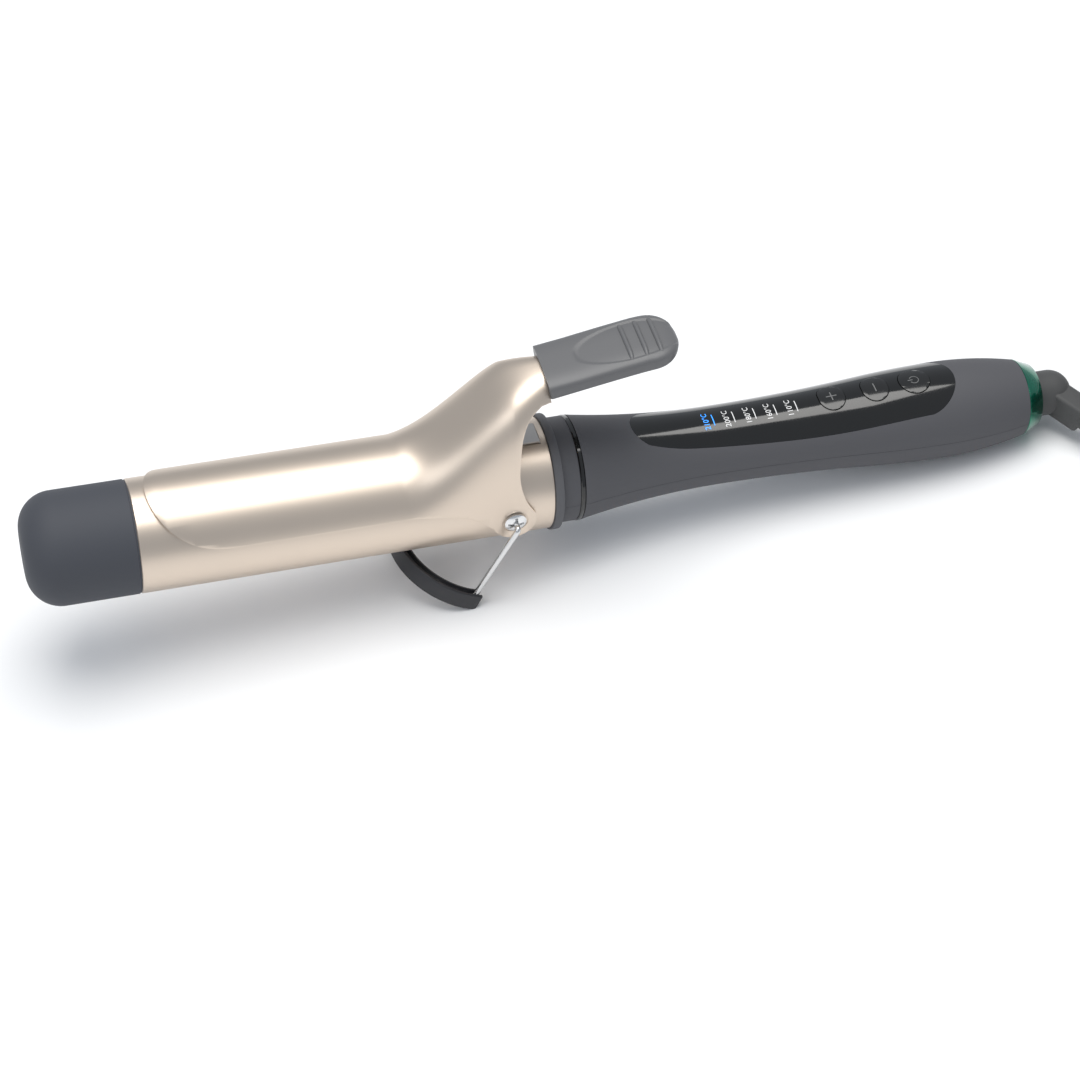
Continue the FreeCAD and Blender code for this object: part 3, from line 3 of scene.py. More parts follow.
import json
import logging
import math
from dataclasses import dataclass
from enum import Enum
from typing import Mapping, Sequence, Union

import bpy
from mathutils import Matrix, Vector


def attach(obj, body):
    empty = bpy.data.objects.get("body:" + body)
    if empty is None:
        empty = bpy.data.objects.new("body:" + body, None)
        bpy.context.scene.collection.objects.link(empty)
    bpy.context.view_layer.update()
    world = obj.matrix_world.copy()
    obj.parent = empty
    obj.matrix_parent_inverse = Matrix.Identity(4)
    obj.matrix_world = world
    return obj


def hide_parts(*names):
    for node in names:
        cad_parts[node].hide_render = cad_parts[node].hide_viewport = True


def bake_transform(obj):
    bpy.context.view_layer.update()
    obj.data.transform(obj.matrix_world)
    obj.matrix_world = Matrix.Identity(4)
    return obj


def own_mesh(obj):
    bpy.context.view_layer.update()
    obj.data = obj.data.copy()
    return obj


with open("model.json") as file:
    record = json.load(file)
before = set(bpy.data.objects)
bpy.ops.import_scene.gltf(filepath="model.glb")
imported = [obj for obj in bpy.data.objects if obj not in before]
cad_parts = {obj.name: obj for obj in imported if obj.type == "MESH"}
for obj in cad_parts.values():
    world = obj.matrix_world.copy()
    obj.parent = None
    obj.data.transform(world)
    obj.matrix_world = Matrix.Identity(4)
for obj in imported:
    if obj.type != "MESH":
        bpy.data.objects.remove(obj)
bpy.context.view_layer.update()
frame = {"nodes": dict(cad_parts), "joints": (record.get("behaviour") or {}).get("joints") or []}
LOG = logging.getLogger("curling_iron")

Colour = tuple[float, float, float, float]
Point = tuple[float, float, float]
Spot = tuple[float, float]
Outline = tuple[Spot, ...]

MM = 0.001
EVEN = (1.0, 1.0, 1.0)
JOINTS = {joint["name"]: joint for joint in frame["joints"]}


def iron_pose() -> Matrix:
    """The matrix from the iron's own frame, in millimetres, to the row's frame, in metres.

    The iron's own frame has its origin at the clamp's pivot, +X along the handle, +Y to
    the far side and +Z through the middle of the clamp.

    Returns:
        A 4x4 matrix that turns, moves and scales.
    """
    along = Vector(JOINTS["cord_swivel"]["axis"]).normalized()
    across = Vector((0.0, 1.0, 0.0))
    up = along.cross(across)
    turn = Matrix((along, across, up)).transposed().to_4x4()
    return Matrix.Translation(JOINTS["clamp"]["pos_m"]) @ turn @ Matrix.Scale(MM, 4)


POSE = iron_pose()


class Body(Enum):
    """The bodies that pieces ride on."""

    IRON = "iron"
    LEVER = "lever"
    STAND = "stand"
    PLUS = "plus"
    MINUS = "minus"
    POWER = "power"
    SWIVEL = "swivel"


# ---------------------------------------------------------------------------
# finishes
# ---------------------------------------------------------------------------


class Term:
    """A shader socket that takes part in Python arithmetic."""

    def __init__(self, shader: "Shader", socket: bpy.types.NodeSocket) -> None:
        """Wraps one output socket of a shader's node."""
        self.shader = shader
        self.socket = socket

    def _sum(self, operation: str, first: "Link", second: "Link") -> "Term":
        """One Math node on two values."""
        made = self.shader.node("ShaderNodeMath", {"operation": operation}, {0: first, 1: second})
        return Term(self.shader, made.outputs[0])

    def __add__(self, other: "Link") -> "Term":
        """self + other."""
        return self._sum("ADD", self, other)

    def __radd__(self, other: "Link") -> "Term":
        """other + self."""
        return self._sum("ADD", other, self)

    def __sub__(self, other: "Link") -> "Term":
        """self - other."""
        return self._sum("SUBTRACT", self, other)

    def __rsub__(self, other: "Link") -> "Term":
        """other - self."""
        return self._sum("SUBTRACT", other, self)

    def __mul__(self, other: "Link") -> "Term":
        """self * other."""
        return self._sum("MULTIPLY", self, other)

    def __rmul__(self, other: "Link") -> "Term":
        """other * self."""
        return self._sum("MULTIPLY", other, self)

    def __pow__(self, other: "Link") -> "Term":
        """self to a power."""
        return self._sum("POWER", self, other)


Link = Union[float, tuple, Term]


class Shader:
    """The nodes of one material, around a single Principled surface."""

    def __init__(self, name: str) -> None:
        """Starts a material with an empty surface.

        Args:
            name: The material's name.
        """
        self.material = bpy.data.materials.new(name)
        self.material.use_nodes = True
        self.tree = self.material.node_tree
        self.tree.nodes.clear()
        self.surface = self.node("ShaderNodeBsdfPrincipled")
        output = self.node("ShaderNodeOutputMaterial")
        self.tree.links.new(self.surface.outputs[0], output.inputs[0])
        place = self.node("ShaderNodeTexCoord")
        self.place = Term(self, place.outputs["Object"])

    def node(
        self,
        kind: str,
        settings: Mapping[str, object] | None = None,
        sockets: Mapping[Union[int, str], Link] | None = None,
    ) -> bpy.types.Node:
        """Adds a node, sets it up and feeds its sockets.

        Args:
            kind: The node's type.
            settings: Its own settings, such as an operation, or "stops" for a colour ramp.
            sockets: Values or terms for its inputs, by name or number.

        Returns:
            The new node.
        """
        made = self.tree.nodes.new(kind)
        for key, amount in (settings or {}).items():
            if key == "stops":
                self._stops(made.color_ramp, amount)
            else:
                setattr(made, key, amount)
        for key, amount in (sockets or {}).items():
            self.feed(made.inputs[key], amount)
        return made

    @staticmethod
    def _stops(ramp: bpy.types.ColorRamp, stops: Sequence[tuple[float, Colour]]) -> None:
        """Puts a colour ramp's stops in place."""
        while len(ramp.elements) < len(stops):
            ramp.elements.new(0.5)
        for element, (where, colour) in zip(ramp.elements, stops):
            element.position = where
            element.color = colour

    def feed(self, socket: bpy.types.NodeSocket, amount: Link) -> None:
        """Links a term to a socket, or sets the socket's own value."""
        if isinstance(amount, Term):
            self.tree.links.new(amount.socket, socket)
        else:
            socket.default_value = amount

    def set(self, **sockets: Link) -> None:
        """Feeds sockets of the surface, named with underscores for spaces."""
        for key, amount in sockets.items():
            self.feed(self.surface.inputs[key.replace("_", " ")], amount)

    def noise(self, per_metre: float, detail: float = 2.0, stretch: Point = EVEN) -> Term:
        """Soft noise in the object's own space.

        Args:
            per_metre: How many blotches fit in a metre.
            detail: How many finer layers it has.
            stretch: A scale for each axis.

        Returns:
            A value from 0 to 1.
        """
        mapped = self.node("ShaderNodeMapping", {}, {"Vector": self.place, "Scale": stretch})
        sockets = {"Vector": Term(self, mapped.outputs[0]), "Scale": per_metre, "Detail": detail}
        return Term(self, self.node("ShaderNodeTexNoise", {}, sockets).outputs[0])

    def cells(self, per_metre: float) -> Term:
        """Distance to the nearest of scattered points, as on a spark-eroded surface."""
        sockets = {"Vector": self.place, "Scale": per_metre}
        return Term(self, self.node("ShaderNodeTexVoronoi", {}, sockets).outputs[0])

    def mix(self, share: Link, first: Colour, second: Colour) -> Term:
        """A colour between two, by a share."""
        settings = {"data_type": "RGBA"}
        made = self.node("ShaderNodeMix", settings, {0: share, 6: first, 7: second})
        return Term(self, made.outputs[2])

    def bump(self, height: Link, strength: float, depth_mm: float) -> None:
        """Raises the surface by a height, through a Bump node."""
        sockets = {"Height": height, "Strength": strength, "Distance": depth_mm * MM}
        made = self.node("ShaderNodeBump", {}, sockets)
        self.set(Normal=Term(self, made.outputs[0]))


def grey(level: float, warm: float = 0.0) -> Colour:
    """A grey, a little warmer (+) or cooler (-)."""
    return (level * (1 + warm), level, level * (1 - warm), 1.0)


@dataclass(frozen=True)
class Finish:
    """A finish with a colour and a roughness, which each kind builds in its own way."""

    name: str
    colour: Colour
    roughness: float

    def paint(self, shader: Shader) -> None:
        """Sets up the shader of this finish."""
        raise NotImplementedError

    def make(self) -> bpy.types.Material:
        """The material, made once; a packed material of the same name is used as it is."""
        found = bpy.data.materials.get(self.name)
        if found is not None:
            return found
        shader = Shader(self.name)
        self.paint(shader)
        shader.material.diffuse_color = self.colour
        return shader.material

    def tint(self, amount: float) -> Colour:
        """The finish's colour, lighter or darker by a factor."""
        return tuple(min(channel * amount, 1.0) for channel in self.colour[:3]) + (1.0,)


@dataclass(frozen=True)
class Coating(Finish):
    """A satin metallic coat sprayed on metal: fine flake, faint clouds, soft orange peel."""

    metallic: float = 1.0

    def paint(self, shader: Shader) -> None:
        """Sets up the coat."""
        clouds = shader.noise(26.0, 3.0)
        flake = shader.noise(5200.0, 1.0)
        shade = shader.mix(clouds * 0.7 + flake * 0.3, self.tint(0.95), self.tint(1.04))
        shader.set(Base_Color=shade, Metallic=self.metallic)
        shader.set(Roughness=self.roughness - 0.04 + clouds * 0.05 + flake * 0.03)
        peel = shader.noise(900.0, 2.0)
        shader.bump(peel * 0.6 + flake * 0.4, 0.12, 0.02)


@dataclass(frozen=True)
class Moulded(Finish):
    """Moulded plastic with a grain of its own size, slightly worn and uneven."""

    grain_mm: float = 0.35
    depth_mm: float = 0.04
    strength: float = 0.5

    def paint(self, shader: Shader) -> None:
        """Sets up the plastic."""
        clouds = shader.noise(35.0, 3.0)
        grain = shader.cells(1000.0 / self.grain_mm)
        dust = shader.noise(1700.0 / self.grain_mm, 2.0)
        shade = shader.mix(clouds * 0.6 + grain * 0.5, self.tint(0.9), self.tint(1.12))
        shader.set(Base_Color=shade, Specular_IOR_Level=0.08)
        shader.set(Roughness=self.roughness - 0.05 + clouds * 0.06 + dust * 0.05)
        shader.bump(grain * 0.6 + dust * 0.4, self.strength, self.depth_mm)


@dataclass(frozen=True)
class Gloss(Finish):
    """Polished plastic with faint handling marks and a hard clear surface."""

    def paint(self, shader: Shader) -> None:
        """Sets up the gloss."""
        marks = shader.noise(120.0, 4.0)
        fine = shader.noise(2600.0, 2.0, (1.0, 0.15, 1.0))
        shade = shader.mix(marks, self.tint(0.85), self.tint(1.15))
        shader.set(Base_Color=shade, Coat_Weight=0.35, Coat_Roughness=0.06)
        shader.set(Roughness=self.roughness + marks * 0.05 + fine * 0.02)
        shader.bump(marks, 0.03, 0.05)


@dataclass(frozen=True)
class Plated(Finish):
    """Bright plated or drawn metal with fine lines along one axis."""

    lines: Point = (0.05, 1.0, 1.0)
    anodised: float = 0.0

    def paint(self, shader: Shader) -> None:
        """Sets up the metal."""
        lines = shader.noise(3800.0, 2.0, self.lines)
        stains = shader.noise(90.0, 3.0)
        shade = shader.mix(stains * 0.5 + lines * 0.5, self.tint(0.86), self.tint(1.08))
        shader.set(Base_Color=shade, Metallic=1.0, Coat_Weight=self.anodised, Coat_Roughness=0.05)
        shader.set(Roughness=self.roughness + lines * 0.08 + stains * 0.04)
        shader.bump(lines, 0.15, 0.01)


@dataclass(frozen=True)
class Rubber(Finish):
    """Matt rubber with a powdery bloom and a fine moulded grain."""

    def paint(self, shader: Shader) -> None:
        """Sets up the rubber."""
        bloom = shader.noise(60.0, 4.0)
        pores = shader.noise(4200.0, 3.0)
        shade = shader.mix(bloom * 0.8 + pores * 0.2, self.tint(0.85), self.tint(1.25))
        shader.set(Base_Color=shade, Sheen_Weight=0.08, Sheen_Roughness=0.5)
        shader.set(Roughness=self.roughness - 0.06 + bloom * 0.1 + pores * 0.05)
        shader.bump(pores, 0.35, 0.03)


@dataclass(frozen=True)
class Ink(Finish):
    """Printed marks on the control window: the lit numeral glows, and the faint glow on the white
    print is painted brightness.
    """

    glow: float = 0.0

    def paint(self, shader: Shader) -> None:
        """Sets up the ink and its glow, which is painted brightness where the print is unlit."""
        spread = shader.noise(1500.0, 2.0)
        shade = shader.mix(spread, self.tint(0.85), self.tint(1.0))
        shader.set(Base_Color=shade, Emission_Color=shade, Emission_Strength=self.glow)
        shader.set(Roughness=self.roughness + spread * 0.1)


@dataclass(frozen=True)
class Board(Finish):
    """A circuit board's solder mask over copper tracks."""

    def paint(self, shader: Shader) -> None:
        """Sets up the board."""
        tracks = shader.node("ShaderNodeTexBrick", {}, {"Vector": shader.place, "Scale": 160.0})
        copper = Term(shader, tracks.outputs["Fac"])
        haze = shader.noise(300.0, 3.0)
        shader.set(Base_Color=shader.mix(copper * 0.7 + haze * 0.2, self.colour, self.tint(2.2)))
        shader.set(Roughness=self.roughness + haze * 0.1)
        shader.bump(copper, 0.4, 0.035)


CHAMPAGNE = Coating("champagne_coat", (0.70, 0.60, 0.505, 1.0), 0.40)
TIP_BLACK = Moulded("tip_black", (0.0018, 0.0022, 0.0030, 1.0), 0.36, 0.2, 0.015, 0.25)
COLLAR_GREY = Moulded("collar_grey", grey(0.003), 0.38, 0.3, 0.01, 0.2)
HANDLE_BLACK = Moulded("handle_black", grey(0.006), 0.58, 0.7, 0.09, 1.0)
CAP_GREY = Moulded("cap_grey", grey(0.016), 0.55, 0.3, 0.02, 0.35)
FOOT_BLACK = Moulded("foot_black", grey(0.002), 0.4, 0.4, 0.02, 0.3)
LENS_BLACK = Gloss("lens_black", grey(0.004), 0.06)
KEY_BLACK = Gloss("key_black", grey(0.007), 0.12)
EMERALD = Plated("emerald_ring", (0.0, 0.20, 0.115, 1.0), 0.2, (1.0, 0.05, 0.05), 0.8)
CHROME = Plated("bright_plate", grey(0.78), 0.12)
WIRE = Plated("drawn_wire", grey(0.7), 0.16, (1.0, 1.0, 0.05))
STRIP = Plated("spring_strip", grey(0.5, 0.05), 0.28, (1.0, 0.05, 1.0))
ZINC = Plated("zinc_plate", grey(0.55), 0.35, (0.3, 1.0, 1.0))
CAST = Plated("cast_aluminium", grey(0.5), 0.5, (1.0, 1.0, 1.0))
BRASS = Plated("turned_brass", (0.62, 0.42, 0.14, 1.0), 0.25)
CERAMIC = Moulded("fired_ceramic", grey(0.72, 0.03), 0.6, 0.5, 0.02, 0.3)
GUIDE = Gloss("milky_guide", grey(0.75), 0.2)
LAMP = Ink("lamp_body", grey(0.85), 0.3, 0.0)
SWITCH = Moulded("switch_grey", grey(0.05), 0.5, 0.3, 0.02, 0.3)
MASK = Board("solder_mask", (0.01, 0.1, 0.035, 1.0), 0.35)
LEAD_RED = Rubber("silicone_sleeve", (0.35, 0.02, 0.015, 1.0), 0.5)
CORD_BLACK = Rubber("cord_jacket", grey(0.02), 0.55)
ELBOW_GREY = Rubber("elbow_rubber", grey(0.055), 0.62)
PLUG_BLACK = Moulded("plug_black", grey(0.012), 0.5, 0.35, 0.03, 0.4)
TIE_BLACK = Moulded("tie_black", grey(0.012), 0.5, 0.5, 0.03, 0.4)
# white print with a faint glow (0.25): painted brightness, the print is no lamp
PRINT_WHITE_PAINTED_GLOW = Ink("print_white", grey(0.72), 0.4, 0.25)
PRINT_BLUE = Ink("lit_blue", (0.03, 0.28, 0.9, 1.0), 0.4, 1.4)
PRINT_DIM = Ink("print_dim", grey(0.16), 0.4, 0.0)

CAD_FINISHES = {
    "tip_insulator": TIP_BLACK,
    "heater_block_upper": CAST,
    "heater_block_lower": CAST,
    "ceramic_heater": CERAMIC,
    "temperature_sensor": CERAMIC,
    "thermal_fuse": CHROME,
    "heater_leads": LEAD_RED,
    "pivot_bracket": ZINC,
    "shell_screws": ZINC,
    "control_board": MASK,
    "light_guide": GUIDE,
    "indicator_leds": LAMP,
    "tact_switches": SWITCH,
    "smoothing_capacitor": SWITCH,
    "power_triac": SWITCH,
    "control_chip": SWITCH,
    "swivel_hub": SWITCH,
    "slip_rings": BRASS,
    "contact_plate": SWITCH,
    "brush_contacts": BRASS,
    "supply_leads": LEAD_RED,
}


# ---------------------------------------------------------------------------
# the bench: modelling moves that the pieces share
# ---------------------------------------------------------------------------


class Bench:
    """Modelling moves made with Blender's own operators, in the iron's frame and millimetres."""

    @staticmethod
    def clear() -> None:
        """Leaves edit mode and deselects everything."""
        if bpy.context.object is not None and bpy.context.object.mode != "OBJECT":
            bpy.ops.object.mode_set(mode="OBJECT")
        bpy.ops.object.select_all(action="DESELECT")

    @staticmethod
    def pick(thing: bpy.types.Object) -> None:
        """Makes one object the only selected and active one."""
        Bench.clear()
        thing.select_set(True)
        bpy.context.view_layer.objects.active = thing

    @staticmethod
    def edit(thing: bpy.types.Object) -> None:
        """Opens an object in edit mode with everything in it selected."""
        Bench.pick(thing)
        bpy.ops.object.mode_set(mode="EDIT")
        bpy.ops.mesh.select_all(action="SELECT")

    @staticmethod
    def tidy(thing: bpy.types.Object, reach: float = 0.002) -> bpy.types.Object:
        """Merges doubles and turns the faces outwards."""
        Bench.edit(thing)
        bpy.ops.mesh.remove_doubles(threshold=reach)
        bpy.ops.mesh.normals_make_consistent(inside=False)
        bpy.ops.object.mode_set(mode="OBJECT")
        return thing

    @staticmethod
    def chain(name: str, points: Sequence[Vector], closed: bool = False) -> bpy.types.Object:
        """A line of edges drawn point by point.

        Args:
            name: The new object's name.
            points: The points to draw through.
            closed: Whether the line returns to its first point.

        Returns:
            The object, with edges only.
        """
        Bench.clear()
        bpy.ops.mesh.primitive_plane_add(size=1.0)
        made = bpy.context.object
        made.name = name
        bpy.ops.object.mode_set(mode="EDIT")
        bpy.ops.mesh.select_all(action="SELECT")
        bpy.ops.mesh.merge(type="CENTER")
        bpy.ops.transform.translate(value=points[0])
        route = list(points) + ([points[0]] if closed else [])
        for before, after in zip(route, route[1:]):
            bpy.ops.mesh.extrude_region_move(TRANSFORM_OT_translate={"value": after - before})
        if closed:
            bpy.ops.mesh.select_all(action="SELECT")
            bpy.ops.mesh.remove_doubles(threshold=0.001)
        bpy.ops.object.mode_set(mode="OBJECT")
        return made

    @staticmethod
    def lathe(
        name: str,
        outline: Sequence[Spot],
        steps: int = 96,
        start: float = 0.0,
        sweep: float = 360.0,
        closed: bool = False,
    ) -> bpy.types.Object:
        """A shape turned about the iron's axis.

        Args:
            name: The new object's name.
            outline: (place along X, radius) points.
            steps: How many steps the turn takes.
            start: Where it starts, in degrees from the top towards the near side.
            sweep: How far it turns, in degrees.
            closed: Whether the outline is a closed loop.

        Returns:
            The turned object.
        """
        angle = math.radians(start)
        spots = [Vector((x, -r * math.sin(angle), r * math.cos(angle))) for x, r in outline]
        made = Bench.chain(name, spots, closed)
        Bench.edit(made)
        bpy.ops.mesh.spin(steps=steps, angle=math.radians(sweep), center=(0, 0, 0), axis=(1, 0, 0))
        if sweep < 360.0 and closed:
            bpy.ops.object.mode_set(mode="OBJECT")
            Bench.tidy(made)
            Bench.edit(made)
            bpy.ops.mesh.select_all(action="DESELECT")
            bpy.ops.mesh.select_non_manifold()
            bpy.ops.mesh.edge_face_add()
        bpy.ops.object.mode_set(mode="OBJECT")
        return Bench.tidy(made)

    @staticmethod
    def sweep(thing: bpy.types.Object, move: Point) -> None:
        """Extrudes everything in an object by a move."""
        Bench.edit(thing)
        bpy.ops.mesh.extrude_region_move(TRANSFORM_OT_translate={"value": move})
        bpy.ops.object.mode_set(mode="OBJECT")

    @staticmethod
    def prism(name: str, outline: Sequence[Vector], rise: Vector) -> bpy.types.Object:
        """A closed outline filled and extruded."""
        made = Bench.chain(name, outline, closed=True)
        Bench.edit(made)
        bpy.ops.mesh.edge_face_add()
        bpy.ops.mesh.extrude_region_move(TRANSFORM_OT_translate={"value": rise})
        bpy.ops.object.mode_set(mode="OBJECT")
        return Bench.tidy(made)

    @staticmethod
    def block(name: str, low: Point, high: Point) -> bpy.types.Object:
        """A box between two corners."""
        Bench.clear()
        middle = (Vector(low) + Vector(high)) / 2
        bpy.ops.mesh.primitive_cube_add(size=1.0, location=middle, scale=Vector(high) - Vector(low))
        made = bpy.context.object
        made.name = name
        bpy.ops.object.transform_apply(location=True, rotation=True, scale=True)
        return made

    @staticmethod
    def divide(thing: bpy.types.Object, cuts: int) -> bpy.types.Object:
        """Cuts every edge, so that the object can be draped over a curve."""
        Bench.edit(thing)
        bpy.ops.mesh.subdivide(number_cuts=cuts)
        bpy.ops.object.mode_set(mode="OBJECT")
        return thing

    @staticmethod
    def drum(
        name: str, radius: float, start: Vector, end: Vector, sides: int = 64
    ) -> bpy.types.Object:
        """A round bar between two points."""
        Bench.clear()
        run = end - start
        bpy.ops.mesh.primitive_cylinder_add(vertices=sides, radius=radius, depth=run.length)
        made = bpy.context.object
        made.name = name
        turn = Vector((0, 0, 1)).rotation_difference(run).to_matrix().to_4x4()
        made.data.transform(Matrix.Translation((start + end) / 2) @ turn)
        return made

    @staticmethod
    def modify(thing: bpy.types.Object, kind: str, **settings: object) -> bpy.types.Object:
        """Adds a modifier and applies it."""
        Bench.pick(thing)
        added = thing.modifiers.new(kind.lower(), kind)
        for key, amount in settings.items():
            setattr(added, key, amount)
        bpy.ops.object.modifier_apply(modifier=added.name)
        return thing

    @staticmethod
    def soften(
        thing: bpy.types.Object, width: float, rounds: int = 3, angle: float = 35.0
    ) -> bpy.types.Object:
        """Rounds the edges that are sharper than an angle."""
        settings = {"width": width, "segments": rounds, "limit_method": "ANGLE"}
        return Bench.modify(thing, "BEVEL", angle_limit=math.radians(angle), **settings)

    @staticmethod
    def carve(
        thing: bpy.types.Object, *tools: bpy.types.Object, how: str = "DIFFERENCE"
    ) -> bpy.types.Object:
        """Cuts, joins or intersects with other solids, which are used up."""
        for tool in tools:
            Bench.modify(thing, "BOOLEAN", object=tool, operation=how, solver="EXACT")
            bpy.data.objects.remove(tool)
        return thing

    @staticmethod
    def join(name: str, *things: bpy.types.Object) -> bpy.types.Object:
        """Joins several objects into the first one."""
        Bench.pick(things[0])
        for thing in things:
            thing.select_set(True)
        bpy.ops.object.join()
        things[0].name = name
        return things[0]

    @staticmethod
    def copy(thing: bpy.types.Object, name: str, move: Matrix) -> bpy.types.Object:
        """A copy with its own mesh, moved or turned."""
        made = thing.copy()
        made.data = thing.data.copy()
        made.name = name
        bpy.context.scene.collection.objects.link(made)
        made.data.transform(move)
        return made

    @staticmethod
    def tubing(name: str, route: Sequence[Vector], radius: float) -> bpy.types.Object:
        """A round wire along a route, as a closed mesh."""
        line = bpy.data.curves.new(name, "CURVE")
        line.dimensions = "3D"
        line.bevel_depth = radius
        line.bevel_resolution = 6
        line.use_fill_caps = True
        spline = line.splines.new("POLY")
        spline.points.add(len(route) - 1)
        for spot, place in zip(spline.points, route):
            spot.co = (*place, 1.0)
        made = bpy.data.objects.new(name, line)
        bpy.context.scene.collection.objects.link(made)
        Bench.pick(made)
        bpy.ops.object.convert(target="MESH")
        return Bench.tidy(bpy.context.object)


def rounded(corners: Sequence[Vector], radius: float, steps: int = 8) -> list[Vector]:
    """A route through corners, each turned with an arc.

    Args:
        corners: The corner points.
        radius: The bend's radius.
        steps: How many steps each bend takes.

    Returns:
        The route's points.
    """
    route = [corners[0].copy()]
    for before, corner, after in zip(corners, corners[1:], corners[2:]):
        arrive = (corner - before).normalized()
        leave = (after - corner).normalized()
        half = arrive.angle(leave) / 2
        setback = radius * math.tan(half)
        inward = (leave - arrive).normalized()
        centre = corner + inward * (radius / math.cos(half))
        reach = radius
        first = corner - arrive * setback - centre
        last = corner + leave * setback - centre
        for step in range(steps + 1):
            route.append(centre + first.slerp(last, step / steps).normalized() * reach)
    route.append(corners[-1].copy())
    return route


def smooth_line(knots: Sequence[Spot], steps: int) -> list[Spot]:
    """A flowing line through knots, with the steps given between each two."""
    line = []
    padded = [knots[0], *knots, knots[-1]]
    for a, b, c, d in zip(padded, padded[1:], padded[2:], padded[3:]):
        for step in range(steps):
            t = step / steps
            weights = (
                -0.5 * t + t * t - 0.5 * t**3,
                1 - 2.5 * t * t + 1.5 * t**3,
                0.5 * t + 2 * t * t - 1.5 * t**3,
                -0.5 * t * t + 0.5 * t**3,
            )
            line.append(tuple(sum(w * p[i] for w, p in zip(weights, (a, b, c, d))) for i in (0, 1)))
    line.append(tuple(knots[-1]))
    return line


def settle(
    piece: bpy.types.Object,
    body: Body,
    finish: Finish,
    replaces: Sequence[str] = (),
    smooth: float = 30.0,
    posed: bool = False,
) -> bpy.types.Object:
    """Lays a finished piece into the row's frame and hands it to its body.

    Args:
        piece: The piece, in the iron's frame.
        body: The body that it rides on.
        finish: Its finish.
        replaces: The CAD nodes that it stands for.
        smooth: The angle, in degrees, under which edges look smooth.
        posed: Whether it is in the row's frame already.

    Returns:
        The piece.
    """
    if not posed:
        piece.data.transform(POSE)
    Bench.pick(piece)
    bpy.ops.object.shade_smooth_by_angle(angle=math.radians(smooth))
    piece.data.materials.clear()
    piece.data.materials.append(finish.make())
    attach(piece, body.value)
    if replaces:
        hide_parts(*replaces)
    for name in replaces:
        hidden = bpy.data.objects.get(name)
        if hidden is not None and hidden is not piece:
            hidden.data.materials.clear()
            hidden.data.materials.append(finish.make())
    LOG.info("%s: %d faces on %s", piece.name, len(piece.data.polygons), body.value)
    return piece


# ---------------------------------------------------------------------------
# studio
# ---------------------------------------------------------------------------


@dataclass(frozen=True)
class Studio:
    """The camera, the pale floor and the lights; the camera's places are in the iron's frame."""

    eye: Point = (-193.5, -601.9, 654.4)
    aim: Point = (5.8, -30.1, 0.0)
    roll: float = 5.08
    lens: float = 90.1
    floor_size: float = 6.0

    def build(self) -> None:
        """Sets the whole studio up."""
        self.camera()
        self.floor()
        self.world()
        self.lamp("key_light", (0.1, 0.16, 1.6), 1.3, 24.0, (1.0, 0.985, 0.955))
        self.lamp("fill_light", (-1.1, -0.6, 1.2), 0.9, 4.0, (0.97, 0.985, 1.0))
        bpy.context.scene.view_settings.view_transform = "Standard"

    def camera(self) -> None:
        """A long lens that looks down at the iron from the near side of its tip."""
        eye = POSE @ Vector(self.eye)
        back = (eye - POSE @ Vector(self.aim)).normalized()
        upright = (POSE.to_3x3() @ Vector((0, 0, 1))).normalized()
        right = upright.cross(back).normalized()
        turn = Matrix((right, back.cross(right), back)).transposed()
        turn = turn @ Matrix.Rotation(math.radians(self.roll), 3, "Z")
        data = bpy.data.cameras.new("view")
        data.lens = self.lens
        data.clip_start = 0.05
        holder = bpy.data.objects.new("view", data)
        holder.matrix_world = Matrix.Translation(eye) @ turn.to_4x4()
        bpy.context.scene.collection.objects.link(holder)
        bpy.context.scene.camera = holder

    def floor(self) -> None:
        """A plain pale floor."""
        Bench.clear()
        bpy.ops.mesh.primitive_plane_add(size=self.floor_size)
        plane = bpy.context.object
        plane.name = "floor"
        shader = Shader("floor_white")
        shader.set(Base_Color=(0.9, 0.9, 0.905, 1.0), Roughness=0.7)
        plane.data.materials.append(shader.material)

    def world(self) -> None:
        """An even, faintly blue surround."""
        world = bpy.data.worlds.new("surround")
        world.use_nodes = True
        world.node_tree.nodes["Background"].inputs[0].default_value = (0.86, 0.92, 1.0, 1.0)
        world.node_tree.nodes["Background"].inputs[1].default_value = 0.5
        bpy.context.scene.world = world

    def lamp(self, name: str, place: Point, size: float, power: float, colour: Point) -> None:
        """A square soft light aimed at the iron.

        Args:
            name: Its name.
            place: Where it hangs, in the row's frame, in metres.
            size: Its side, in metres.
            power: Its power in watts.
            colour: Its colour.
        """
        data = bpy.data.lights.new(name, "AREA")
        data.size = size
        data.energy = power
        data.color = colour
        light = bpy.data.objects.new(name, data)
        turn = Vector(place).to_track_quat("Z", "Y").to_matrix().to_4x4()
        light.matrix_world = Matrix.Translation(place) @ turn
        bpy.context.scene.collection.objects.link(light)


# ---------------------------------------------------------------------------
# cord and plug
# ---------------------------------------------------------------------------


